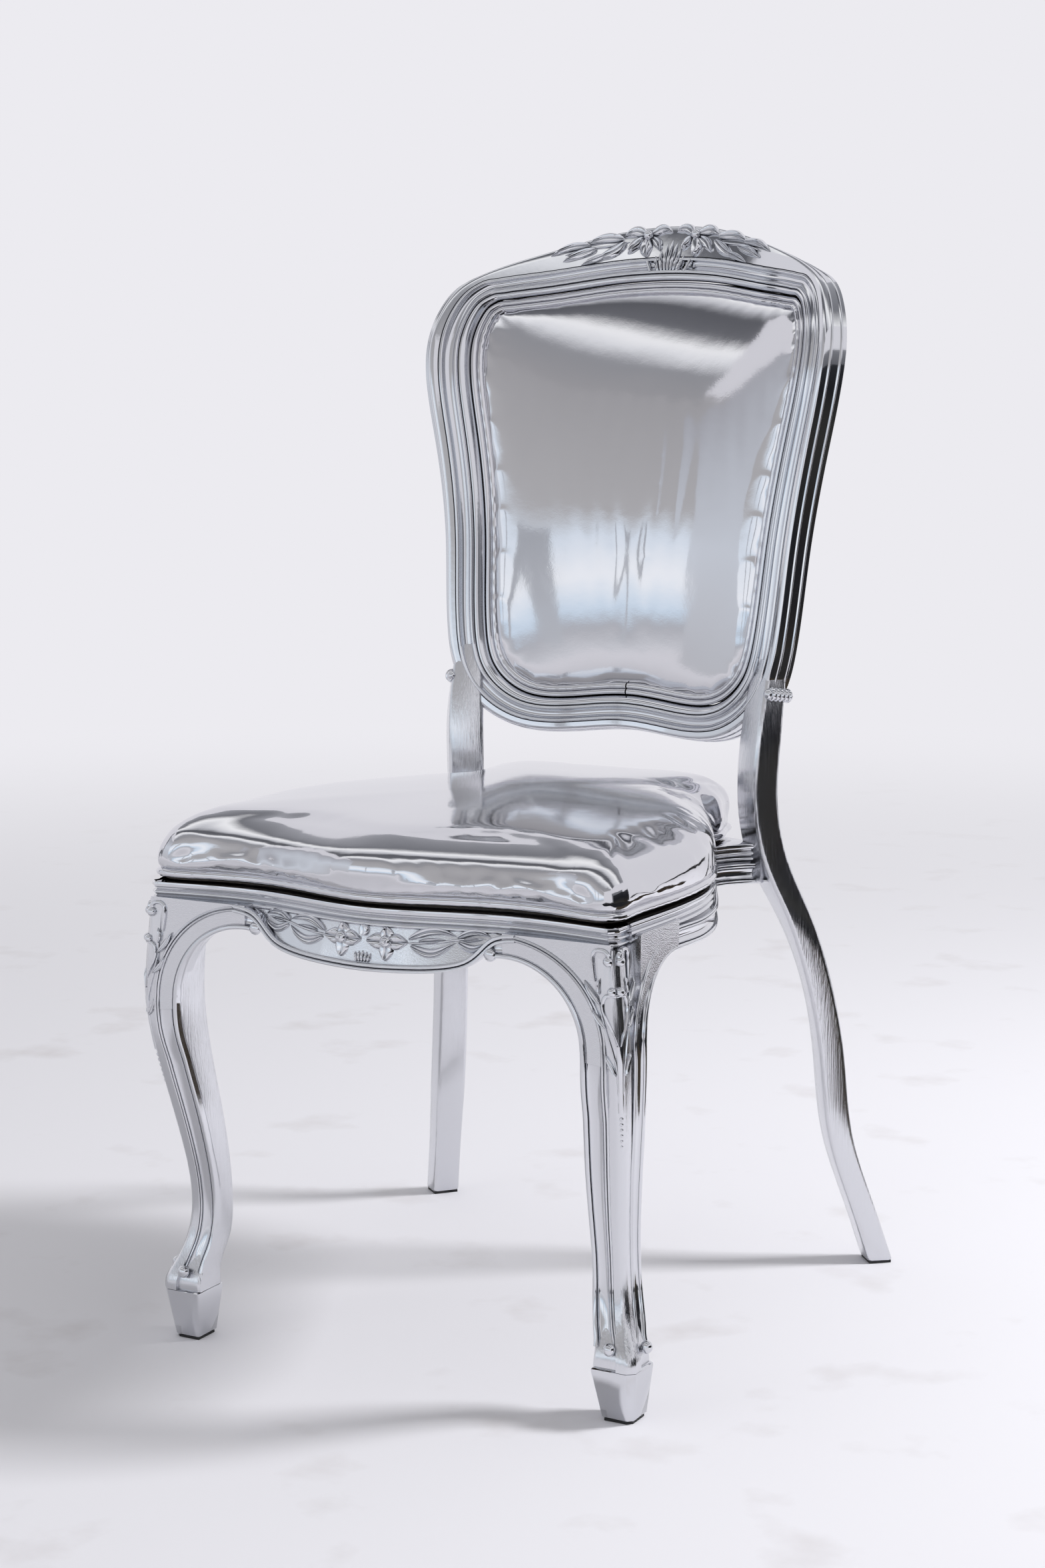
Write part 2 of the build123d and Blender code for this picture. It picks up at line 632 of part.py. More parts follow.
def boss_planes():
    """Planes on the bosses' undersides, looking up."""
    return [Plane((p.X, p.Y, LIP_Z - RAIL_HEIGHT + 6), z_dir=(0, 0, 1)) for p in boss_places()]


def bolt_plane():
    """Plane on the right rear leg's front face between its bolts, looking into the leg."""
    _, x, y, _, depth, turn = rear_leg_stations()[6]
    angle = math.radians(turn)
    into = Vector(math.sin(angle), math.cos(angle), 0)
    side = Vector(math.cos(angle), -math.sin(angle), 0)
    middle = Vector(x, y, LIP_Z - RAIL_HEIGHT / 2) - into * (depth / 2) - side * BOLT_SHIFT
    return Plane(middle, x_dir=side, z_dir=into)


def bolt_frames():
    """Planes like bolt_plane, one for each bolt of the right side."""
    middle = bolt_plane()
    return [Plane(middle.origin + Vector(0, 0, h), x_dir=middle.x_dir, z_dir=middle.z_dir)
            for h in (-BOLT_PITCH / 2, BOLT_PITCH / 2)]


def cylinder(plane, radius, start, length):
    """Cylinder along a plane's normal, from a distance before or behind it."""
    return Solid.make_cylinder(radius, length, Plane(plane.origin + plane.z_dir * start, z_dir=plane.z_dir))


def both_sides(shape):
    """A right-hand shape and its mirror image, as a list."""
    return [shape, mirror(shape, about=Plane.YZ)]


def bolt_slot():
    """Pocket in the right rail's end, open to the inside, for the bolt heads and washers."""
    depth = WASHER_T + BOLT_HEAD_T + 2
    reach = RAIL_WIDTH - 4
    width = WASHER_R + 0.3 + reach
    block = Box(width, BOLT_PITCH + 2 * WASHER_R + 2, depth)
    return bolt_plane() * Pos((WASHER_R + 0.3 - reach) / 2, 0, -END_BLOCK - depth / 2) * block


def seat_frame():
    """Rails, arches, bosses and front legs as one moulding, cut to fit the rear legs and the fasteners."""
    right = side_rail() + front_leg() + front_arch() + side_arch()
    frame = front_rail() + rear_rail() + right + mirror(right, about=Plane.YZ)
    height = RAIL_HEIGHT - 6 + BOSS_RISE
    for plane in boss_planes():
        frame += cylinder(plane, BOSS_R, 0, height)
    cuts = [rear_leg(), bolt_slot(), cylinder(front_nail_plane(), NAIL_R + FIT, GLIDE - 1, NAIL_LENGTH + 2)]
    bore = END_BLOCK + LEG_LEAN_ROOM + 1
    cuts += [cylinder(plane, BOLT_R + 0.2, -END_BLOCK - 1, bore) for plane in bolt_frames()]
    for cut in cuts:
        frame -= both_sides(cut)
    for plane in boss_planes():
        frame -= cylinder(plane, SEAT_SCREW_R + 0.2, -1, height + 2)
    return max(frame.solids(), key=lambda solid: solid.volume)


def frame_bolts():
    """Bolts through the rail ends into the rear legs."""
    under = -END_BLOCK - WASHER_T
    right = [cylinder(plane, BOLT_HEAD_R, under - BOLT_HEAD_T, BOLT_HEAD_T)
             + cylinder(plane, BOLT_R, under - 1, END_BLOCK + WASHER_T + INSERT_START + INSERT_LENGTH - 1)
             for plane in bolt_frames()]
    return [one for bolt in right for one in both_sides(bolt)]


def bolt_washers():
    """Washers under the bolt heads."""
    right = [cylinder(plane, WASHER_R, -END_BLOCK - WASHER_T, WASHER_T)
             - cylinder(plane, BOLT_R + 0.2, -END_BLOCK - WASHER_T - 1, WASHER_T + 2)
             for plane in bolt_frames()]
    return [one for washer in right for one in both_sides(washer)]


def leg_inserts():
    """Threaded inserts in the rear legs."""
    right = [cylinder(plane, INSERT_R, INSERT_START, INSERT_LENGTH)
             - cylinder(plane, BOLT_R + FIT, 0, INSERT_START + INSERT_LENGTH + 1)
             for plane in bolt_frames()]
    return [one for insert in right for one in both_sides(insert)]


def front_nail_plane():
    """Plane on the floor under the right front foot, looking up."""
    x, y = foot_corner()
    return Plane((x - FOOT_SIZE / 2, y + FOOT_SIZE / 2, 0), z_dir=(0, 0, 1))


def rear_nail_plane():
    """Plane on the floor under the right rear foot, looking up."""
    return Plane((REAR_FOOT_X, REAR_FOOT_Y, 0), z_dir=(0, 0, 1))


def glide(face, plane):
    """Flat plate under a foot, bored for its nail."""
    plate = extrude(face, amount=GLIDE, dir=(0, 0, 1))
    return plate - cylinder(plane, NAIL_R + FIT, -1, GLIDE + 2) - cylinder(plane, NAIL_HEAD_R + FIT, -1, 2.2)


def front_glide():
    """Glide of the right front foot."""
    x, y = foot_corner()
    face = corner_section(x - GLIDE_INSET, y + GLIDE_INSET, 0, FOOT_SIZE - 2 * GLIDE_INSET)
    return glide(face, front_nail_plane())


def rear_glide():
    """Glide of the right rear foot."""
    face = turned_section(REAR_FOOT_X, REAR_FOOT_Y, 0, REAR_FOOT_WIDTH - 2 * GLIDE_INSET,
                          REAR_FOOT_DEPTH - 2 * GLIDE_INSET, REAR_FOOT_TURN)
    return glide(face, rear_nail_plane())


def glide_nails():
    """Nails that hold the glides."""
    right = [cylinder(plane, NAIL_HEAD_R, 0.3, 0.9) + cylinder(plane, NAIL_R, 0.5, GLIDE + NAIL_LENGTH - 0.5)
             for plane in (front_nail_plane(), rear_nail_plane())]
    return [one for nail in right for one in both_sides(nail)]


def pad_points():
    """Right half of the seat pad's outline at its widest, from the front centre to the rear centre."""
    x = CORNER_X + PAD_OVERHANG
    y = CORNER_Y - PAD_OVERHANG
    wave_y = FRONT_Y + FRONT_WAVE - PAD_OVERHANG
    waist = WAIST_X - 2
    rear = REAR_RAIL_Y + 4
    return [
        (0, FRONT_Y - 3 * PAD_OVERHANG), (FRONT_WAVE_X * 0.5, FRONT_Y + FRONT_WAVE * 0.45 - 2 * PAD_OVERHANG),
        (FRONT_WAVE_X, wave_y), (FRONT_WAVE_X * 1.5, wave_y - 2), (x - 18, y), (x - 4, y + 2), (x + 2, y + 9),
        (x + 3, y + 26), (x + 4, y + 80), (x - 6, y + 192), ((x + waist) / 2 + 3, WAIST_Y - 93),
        (waist + 17, WAIST_Y - 35), (waist + 2, WAIST_Y - 5), (waist + 4, WAIST_Y + 18),
        (waist + 1, WAIST_Y + 34),
        (waist - 6, WAIST_Y + 56), (waist - 12, rear - 12), (waist - 26, rear - 2),
        (waist * 0.4, rear), (0, rear),
    ]


def pad_steps():
    """Share of the way round at each point of the seat pad's outline, the same at every height."""
    points = [Vector(x, y) for x, y in pad_points()]
    spans = [(two - one).length for one, two in zip(points, points[1:])]
    spans += spans[::-1]
    return [sum(spans[:i]) / sum(spans) for i in range(len(spans) + 1)]


def pad_outline(inset, z):
    """Closed level outline of the seat pad, drawn in by inset."""
    edge = min(inset, PAD_DRAW_IN + 2)
    crown = 1 - (inset - edge) / CORNER_X
    half_length = WAIST_Y - FRONT_Y
    tail = REAR_RAIL_Y - WAIST_Y
    middle = (FRONT_Y + REAR_RAIL_Y) / 2
    right = []
    for x, y in pad_points():
        behind = y - WAIST_Y - 7
        share = behind / (tail if behind > 0 else half_length)
        along = middle + (y - edge * share - middle) * crown
        right.append(Vector(x * (1 - edge / CORNER_X) * crown, along, z))
    left = [Vector(-p.X, p.Y, z) for p in right[-2:0:-1]]
    return Edge.make_spline(right + left, periodic=True, parameters=pad_steps())


def board_top():
    """Height of the seat board's upper face."""
    return LIP_Z + BOSS_RISE + BOARD_T


def pad_loft(shrink):
    """Crowned seat pad with drawn-in sides, made smaller all round by shrink."""
    low = board_top() + SOFT_GAP
    levels = [(0, PAD_DRAW_IN), (0.3, 0.5), (0.5, 0), (0.74, 7), (0.91, 32), (1, 108)]
    faces = [make_face(pad_outline(inset + shrink, low + (PAD_HEIGHT - shrink) * up)) for up, inset in levels]
    return loft(faces, ruled=True)


def seat_pad():
    """Vinyl cover of the seat, an open skin, and the foam inside it."""
    low = board_top() + SOFT_GAP
    outer = pad_loft(0).faces().sort_by(Axis.Z)
    inner = pad_loft(VINYL).faces().sort_by(Axis.Z)
    rim = Face(Wire([pad_outline(PAD_DRAW_IN, low)]), [Wire([pad_outline(PAD_DRAW_IN + VINYL, low)])])
    cover = Solid(Shell([rim, *outer[1:], *inner[1:]]))
    return cover, pad_loft(VINYL + SOFT_GAP)


def seat_piping():
    """Bead round the bottom edge of the seat pad, six-sided in section."""
    middle = board_top() - PIPING / 2
    rings = []
    for i in range(6):
        angle = math.radians(30 + 60 * i)
        out = PAD_DRAW_IN - PIPING / 2 * math.cos(angle)
        rings.append(pad_outline(out, middle + PIPING / 2 * math.sin(angle)))
    sides = [Face.make_surface_from_curves(one, two) for one, two in zip(rings, rings[1:] + rings[:1])]
    return Solid(Shell(sides))


def seat_board():
    """Plywood base of the seat pad with recesses for its tee nuts."""
    face = make_face(pad_outline(PAD_DRAW_IN + PIPING / 2 + SOFT_GAP, LIP_Z + BOSS_RISE))
    board = extrude(face, amount=BOARD_T, dir=(0, 0, 1))
    height = board_top()
    for p in boss_places():
        plane = Plane((p.X, p.Y, height), z_dir=(0, 0, -1))
        board -= cylinder(plane, TEE_BARREL_R + FIT, -1, BOARD_T + 2)
        board -= cylinder(plane, TEE_FLANGE_R + FIT, -1, TEE_FLANGE_T + 1)
    return board


def seat_tee_nuts():
    """Flanged nuts let into the seat board."""
    nuts = []
    for p in boss_places():
        plane = Plane((p.X, p.Y, board_top()), z_dir=(0, 0, -1))
        nut = cylinder(plane, TEE_FLANGE_R, 0, TEE_FLANGE_T) + cylinder(plane, TEE_BARREL_R, 0.5, BOARD_T - 1)
        nuts.append(nut - cylinder(plane, SEAT_SCREW_R + FIT, -1, BOARD_T + 2))
    return nuts


def seat_screws():
    """Screws up through the bosses into the tee nuts."""
    length = RAIL_HEIGHT - 6 + BOSS_RISE + BOARD_T - 1
    return [cylinder(plane, SEAT_SCREW_HEAD_R, -SEAT_SCREW_HEAD_T, SEAT_SCREW_HEAD_T)
            + cylinder(plane, SEAT_SCREW_R, -1, length + 1) for plane in boss_planes()]


def assembly():
    """All named pieces, each a list of its solids."""
    back_cover, back_foam = back_pad()
    rear_board, rear_cover = rear_panel()
    seat_cover, seat_foam = seat_pad()
    front_right, rear_right = front_glide(), rear_glide()
    return {
        "seat_frame": [seat_frame()],
        "back_frame": [back_frame()],
        "seat_cover": [seat_cover],
        "seat_foam": [seat_foam],
        "seat_piping": [seat_piping()],
        "seat_board": [seat_board()],
        "seat_tee_nuts": seat_tee_nuts(),
        "seat_screws": seat_screws(),
        "back_cover": [back_cover],
        "back_foam": [back_foam],
        "back_welt": [back_welt()],
        "back_board": [back_board()],
        "back_screws": back_screws(),
        "rear_board": [rear_board],
        "rear_cover": [rear_cover],
        "frame_bolts": frame_bolts(),
        "bolt_washers": bolt_washers(),
        "leg_inserts": leg_inserts(),
        "front_right_glide": [front_right],
        "front_left_glide": [mirror(front_right, about=Plane.YZ)],
        "rear_right_glide": [rear_right],
        "rear_left_glide": [mirror(rear_right, about=Plane.YZ)],
        "glide_nails": glide_nails(),
    }


def main():
    """Build every piece, put the origin under the middle of the chair and write one file for each."""
    pieces = {}
    for name, shapes in assembly().items():
        solids = [solid for shape in shapes for solid in shape.solids()]
        pieces[name] = Compound(children=solids) if len(solids) > 1 else solids[0]
    boxes = [shape.bounding_box() for shape in pieces.values()]
    middle = (min(box.min.Y for box in boxes) + max(box.max.Y for box in boxes)) / 2
    os.makedirs("parts", exist_ok=True)
    for name, shape in pieces.items():
        export_step(Pos(0, -middle, 0) * shape, f"parts/{name}.step")


if __name__ == "__main__":
    main()
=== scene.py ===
"""Looks of a plated plastic dining chair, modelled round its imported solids.

Lengths are millimetres in the drawing frame: +Z up, the sitter faces -Y, +X is the viewer's right. The
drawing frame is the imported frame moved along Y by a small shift, which is read from the right front glide.
"""

import json
import logging
import math
from collections.abc import Callable, Sequence
from dataclasses import dataclass, field
from enum import Enum

import bmesh
import bpy
import numpy as np
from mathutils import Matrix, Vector

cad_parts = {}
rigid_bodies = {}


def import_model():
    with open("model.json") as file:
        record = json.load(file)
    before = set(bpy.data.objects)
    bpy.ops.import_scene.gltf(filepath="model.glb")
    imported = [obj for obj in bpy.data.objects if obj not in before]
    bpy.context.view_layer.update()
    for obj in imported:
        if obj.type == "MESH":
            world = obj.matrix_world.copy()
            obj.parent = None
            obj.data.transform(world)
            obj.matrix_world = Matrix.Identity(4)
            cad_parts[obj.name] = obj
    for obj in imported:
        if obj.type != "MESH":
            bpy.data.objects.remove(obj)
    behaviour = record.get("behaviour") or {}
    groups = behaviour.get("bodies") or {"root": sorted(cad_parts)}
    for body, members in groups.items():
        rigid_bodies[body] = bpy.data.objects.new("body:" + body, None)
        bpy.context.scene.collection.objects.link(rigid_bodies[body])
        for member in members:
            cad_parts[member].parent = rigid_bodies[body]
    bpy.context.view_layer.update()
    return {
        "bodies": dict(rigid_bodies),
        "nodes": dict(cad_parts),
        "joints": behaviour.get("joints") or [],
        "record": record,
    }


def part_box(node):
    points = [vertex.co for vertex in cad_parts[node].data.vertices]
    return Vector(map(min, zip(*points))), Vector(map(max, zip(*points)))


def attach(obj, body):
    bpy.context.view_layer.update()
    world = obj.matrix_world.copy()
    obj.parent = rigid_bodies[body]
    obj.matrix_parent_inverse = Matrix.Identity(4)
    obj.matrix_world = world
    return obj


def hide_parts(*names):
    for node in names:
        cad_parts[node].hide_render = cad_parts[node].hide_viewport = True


LOG = logging.getLogger("chair")
Array = np.ndarray
MM = 0.001
GLIDE_FRONT_Y = -241.0        # front edge of the right front glide in the drawing frame
BODY = "root"
CHUNK = 4000                  # points that are measured against a line at once


class Slot(Enum):
    """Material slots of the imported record."""

    PLATED = "plated_plastic"
    VINYL = "silver_vinyl"
    FOAM = "foam"
    BOARD = "board"
    ZINC = "zinc_steel"
    GLIDE = "glide_plastic"


def linear(colour: str) -> tuple[float, float, float, float]:
    """Turn an sRGB hex colour into linear values.

    Args:
        colour: Colour such as "#c8c9cc".

    Returns:
        Red, green, blue and an alpha of 1.
    """
    parts = [int(colour[i:i + 2], 16) / 255 for i in (1, 3, 5)]
    red, green, blue = [p / 12.92 if p <= 0.04045 else ((p + 0.055) / 1.055) ** 2.4 for p in parts]
    return red, green, blue, 1.0


def add_node(tree: bpy.types.NodeTree, kind: str, inputs: dict | None = None,
             **settings: object) -> bpy.types.Node:
    """Add a node with its settings, and set or link its inputs.

    Args:
        tree: Node tree that gets the node.
        kind: Blender's name of the node type.
        inputs: Input names or numbers, each with a value or a socket to link.
        settings: Properties of the node.

    Returns:
        The new node.
    """
    node = tree.nodes.new(kind)
    for name, value in settings.items():
        setattr(node, name, value)
    for key, value in (inputs or {}).items():
        if isinstance(value, bpy.types.NodeSocket):
            tree.links.new(value, node.inputs[key])
        else:
            node.inputs[key].default_value = value
    return node


class SmoothLine:
    """Cubic spline through points of any dimension."""

    def __init__(self, points: Sequence[Sequence[float]], closed: bool = False,
                 knots: Sequence[float] | None = None) -> None:
        """Fit the spline.

        Args:
            points: Points in order.
            closed: Whether the line goes on from the last point to the first.
            knots: Parameter at each point; the chord length if left out.
        """
        nodes = np.array(points, float)
        if closed:
            nodes = np.vstack([nodes, nodes[:1]])
        chords = np.linalg.norm(np.diff(nodes, axis=0), axis=1)
        self.knots = np.concatenate([[0.0], np.cumsum(chords)]) if knots is None else np.array(knots, float)
        self.nodes = nodes
        self.spans = np.diff(self.knots)
        self.slopes = np.diff(nodes, axis=0) / self.spans[:, None]
        self.bends = self._bends(closed)

    def _bends(self, closed: bool) -> Array:
        """Second derivatives at the points, for free ends or a closed line.

        Args:
            closed: Whether the line goes on from the last point to the first.

        Returns:
            One vector for each point.
        """
        count = len(self.nodes)
        matrix = np.eye(count)
        right = np.zeros_like(self.nodes)
        for i in range(1, count - 1):
            before, after = self.spans[i - 1], self.spans[i]
            matrix[i, i - 1:i + 2] = before, 2 * (before + after), after
            right[i] = 6 * (self.slopes[i] - self.slopes[i - 1])
        if closed:
            before, after = self.spans[-1], self.spans[0]
            matrix[0, :2] = 2 * (before + after), after
            matrix[0, -2] = before
            right[0] = 6 * (self.slopes[0] - self.slopes[-1])
            matrix[-1, 0] = -1
        return np.linalg.solve(matrix, right)

    def _find(self, parameter: Array) -> tuple[Array, Array, Array]:
        """Span number, distance into it and span length for each parameter.

        Args:
            parameter: Places in the knots' own units.

        Returns:
            Three arrays with one row for each place.
        """
        value = np.clip(np.atleast_1d(np.asarray(parameter, float)), self.knots[0], self.knots[-1])
        span = np.clip(np.searchsorted(self.knots, value, side="right") - 1, 0, len(self.spans) - 1)
        return span, (value - self.knots[span])[:, None], self.spans[span][:, None]

    def value(self, parameter: Array) -> Array:
        """Points at parameters given in the knots' own units.

        Args:
            parameter: Places in the knots' own units.

        Returns:
            One point for each place.
        """
        i, t, h = self._find(parameter)
        first = self.slopes[i] - h * (2 * self.bends[i] + self.bends[i + 1]) / 6
        third = (self.bends[i + 1] - self.bends[i]) / (6 * h)
        return self.nodes[i] + first * t + self.bends[i] / 2 * t ** 2 + third * t ** 3

    def at(self, share: Array) -> Array:
        """Points at shares from 0 to 1 of the whole line."""
        return self.value(self.knots[0] + np.asarray(share) * (self.knots[-1] - self.knots[0]))

    def heading(self, share: Array) -> Array:
        """Unit directions at shares from 0 to 1 of the whole line.

        Args:
            share: Shares of the whole line.

        Returns:
            One direction for each share.
        """
        i, t, h = self._find(self.knots[0] + np.asarray(share) * (self.knots[-1] - self.knots[0]))
        first = self.slopes[i] - h * (2 * self.bends[i] + self.bends[i + 1]) / 6
        way = first + self.bends[i] * t + (self.bends[i + 1] - self.bends[i]) / (2 * h) * t ** 2
        return way / np.linalg.norm(way, axis=1, keepdims=True)


def unit(vectors: Array) -> Array:
    """Vectors of length 1 with the same directions."""
    return vectors / np.linalg.norm(vectors, axis=-1, keepdims=True)


def ease(value: Array) -> Array:
    """Smooth step from 0 to 1."""
    clipped = np.clip(value, 0, 1)
    return clipped * clipped * (3 - 2 * clipped)


def along_line(line: Array, points: Array) -> tuple[Array, Array]:
    """Find the nearest place of a line for each point.

    Args:
        line: Points of the line, close together.
        points: Points to measure.

    Returns:
        How far along the line each point's nearest place lies, and how far away it is.
    """
    reach = np.concatenate([[0], np.cumsum(np.linalg.norm(np.diff(line, axis=0), axis=1))])
    along, gap = np.zeros(len(points)), np.zeros(len(points))
    for start in range(0, len(points), CHUNK):
        part = slice(start, start + CHUNK)
        away = np.linalg.norm(points[part, None] - line[None], axis=2)
        along[part] = reach[away.argmin(axis=1)]
        gap[part] = away.min(axis=1)
    return along, gap


def round_run(start: Sequence[float], end: Sequence[float], rise: float,
              steps: int = 8) -> list[tuple[float, float]]:
    """Round bead or cove of a profile, without its last point.

    Args:
        start: First (across, depth) point.
        end: Last (across, depth) point.
        rise: How far it stands proud; negative for a cove.
        steps: Number of points.

    Returns:
        Points of half an ellipse.
    """
    points = []
    for k in range(steps):
        angle = math.pi * k / steps
        share = (1 - math.cos(angle)) / 2
        points.append((start[0] + (end[0] - start[0]) * share,
                       start[1] + (end[1] - start[1]) * share - rise * math.sin(angle)))
    return points


@dataclass
class Mould:
    """Collects closed quad shells in millimetres and turns them into one mesh object."""

    shift: float
    vertices: list[Array] = field(default_factory=list)
    faces: list[list[int]] = field(default_factory=list)
    slots: list[int] = field(default_factory=list)
    count: int = 0

    def add(self, points: Array, faces: Sequence[Sequence[int]], slot: int = 0) -> None:
        """Add points and the faces between them, numbered from the first new point.

        Args:
            points: New points.
            faces: Lists of point numbers.
            slot: Material number.
        """
        self.vertices.append(points)
        self.faces.extend([self.count + int(i) for i in face] for face in faces)
        self.slots.extend([slot] * len(faces))
        self.count += len(points)

    def sweep(self, rows: Array, slot: int = 0, ring: bool = False, mirror: bool = False) -> None:
        """Add a tube of closed sections.

        Args:
            rows: Sections along the tube, as an array of sections, points and coordinates.
            slot: Material number.
            ring: Whether the last section joins the first; otherwise both ends are capped.
            mirror: Whether the mirror image is added too.
        """
        rows = np.asarray(rows, float)
        along, around = rows.shape[:2]
        i, j = np.meshgrid(np.arange(along if ring else along - 1), np.arange(around), indexing="ij")
        after, beside = (i + 1) % along, (j + 1) % around
        quads = np.stack([i * around + j, i * around + beside, after * around + beside, after * around + j],
                         axis=-1)
        faces = quads.reshape(-1, 4).tolist()
        if not ring:
            faces += [list(range(around))[::-1], list(range((along - 1) * around, along * around))]
        points = rows.reshape(-1, 3)
        self.add(points, faces, slot)
        if mirror:
            self.add(points * [-1, 1, 1], [face[::-1] for face in faces], slot)

    def ball(self, centre: Sequence[float], radii: Sequence[float] | float, slot: int = 0,
             mirror: bool = True,
             axes: Array | None = None) -> None:
        """Add an ellipsoid.

        Args:
            centre: Its middle.
            radii: One radius, or three along the axes.
            slot: Material number.
            mirror: Whether the mirror image is added too.
            axes: Three unit directions as rows; the frame's own if left out.
        """
        rings, segments = 10, 16
        frame = np.eye(3) if axes is None else np.asarray(axes)
        sizes = np.broadcast_to(np.asarray(radii, float), 3)
        tilt = np.linspace(0.06, math.pi - 0.06, rings)
        turn = np.linspace(0, 2 * math.pi, segments, endpoint=False)
        local = np.stack([np.outer(np.sin(tilt), np.cos(turn)) * sizes[0],
                          np.outer(np.sin(tilt), np.sin(turn)) * sizes[1],
                          np.outer(np.cos(tilt), np.ones(segments)) * sizes[2]], axis=-1)
        self.sweep(np.asarray(centre) + local @ frame, slot, mirror=mirror)

    def lathe(self, origin: Sequence[float], axis: Sequence[float], profile: Sequence[tuple[float, float]],
              slot: int = 0,
              mirror: bool = True, segments: int = 32) -> None:
        """Add a turned shape.

        Args:
            origin: Start of its axis.
            axis: Direction of its axis.
            profile: (along, radius) pairs.
            slot: Material number.
            mirror: Whether the mirror image is added too.
            segments: Points round the axis.
        """
        way = unit(np.asarray(axis, float))
        side = unit(np.cross(way, [0.0, 0.0, 1.0] if abs(way[2]) < 0.9 else [1.0, 0.0, 0.0]))
        other = np.cross(way, side)
        turn = np.linspace(0, 2 * math.pi, segments, endpoint=False)
        circle = np.outer(np.cos(turn), side) + np.outer(np.sin(turn), other)
        rows = [np.asarray(origin) + way * along + circle * max(radius, 0.02) for along, radius in profile]
        self.sweep(np.array(rows), slot, mirror=mirror)

    def strip(self, path: Array, across: Array, outward: Array, profile: Array, thickness: float,
              slot: int = 0,
              mirror: bool = True) -> None:
        """Add a moulded band that follows a path.

        Args:
            path: Points of the band's first edge.
            across: Vectors over the band's whole width at each point.
            outward: Unit vectors out of the band's face.
            profile: (share of width, height) pairs, or one such array for each point of the path.
            thickness: How far the band's rear lies below its face.
            slot: Material number.
            mirror: Whether the mirror image is added too.
        """
        profile = np.broadcast_to(np.asarray(profile, float), (len(path), *np.shape(profile)[-2:]))
        face = path[:, None] + across[:, None] * profile[..., :1] + outward[:, None] * profile[..., 1:]
        rear = [path + across * profile[:, end, :1] - outward * thickness for end in (-1, 0)]
        self.sweep(np.concatenate([face, np.stack(rear, axis=1)], axis=1), slot, mirror=mirror)

    def build(self, name: str, finishes: Sequence[bpy.types.Material],
              sharp: float = 40.0) -> bpy.types.Object:
        """Make the mesh object.

        Args:
            name: Name of the object.
            finishes: Materials by number.
            sharp: Angle in degrees above which an edge stays sharp.

        Returns:
            The new object, linked into the scene.
        """
        mesh = bpy.data.meshes.new(name)
        points = (np.vstack(self.vertices) + [0, self.shift, 0]) * MM
        mesh.from_pydata(points.tolist(), [], self.faces)
        mesh.polygons.foreach_set("material_index", self.slots)
        tidy = bmesh.new()
        tidy.from_mesh(mesh)
        bmesh.ops.recalc_face_normals(tidy, faces=tidy.faces)
        tidy.to_mesh(mesh)
        tidy.free()
        mesh.shade_smooth()
        mesh.set_sharp_from_angle(angle=math.radians(sharp))
        for finish in finishes:
            mesh.materials.append(finish)
        piece = bpy.data.objects.new(name, mesh)
        bpy.context.scene.collection.objects.link(piece)
        return piece


def seat_piece(piece: bpy.types.Object, slot: Slot, *nodes: str) -> bpy.types.Object:
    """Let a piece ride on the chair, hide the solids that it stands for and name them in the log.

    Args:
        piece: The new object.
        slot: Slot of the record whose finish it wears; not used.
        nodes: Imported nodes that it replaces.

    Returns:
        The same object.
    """
    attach(piece, BODY)
    if nodes:
        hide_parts(*nodes)
    LOG.info("%s: %d faces, stands for %s", piece.name, len(piece.data.polygons),
             ", ".join(nodes) or "no solid")
    return piece


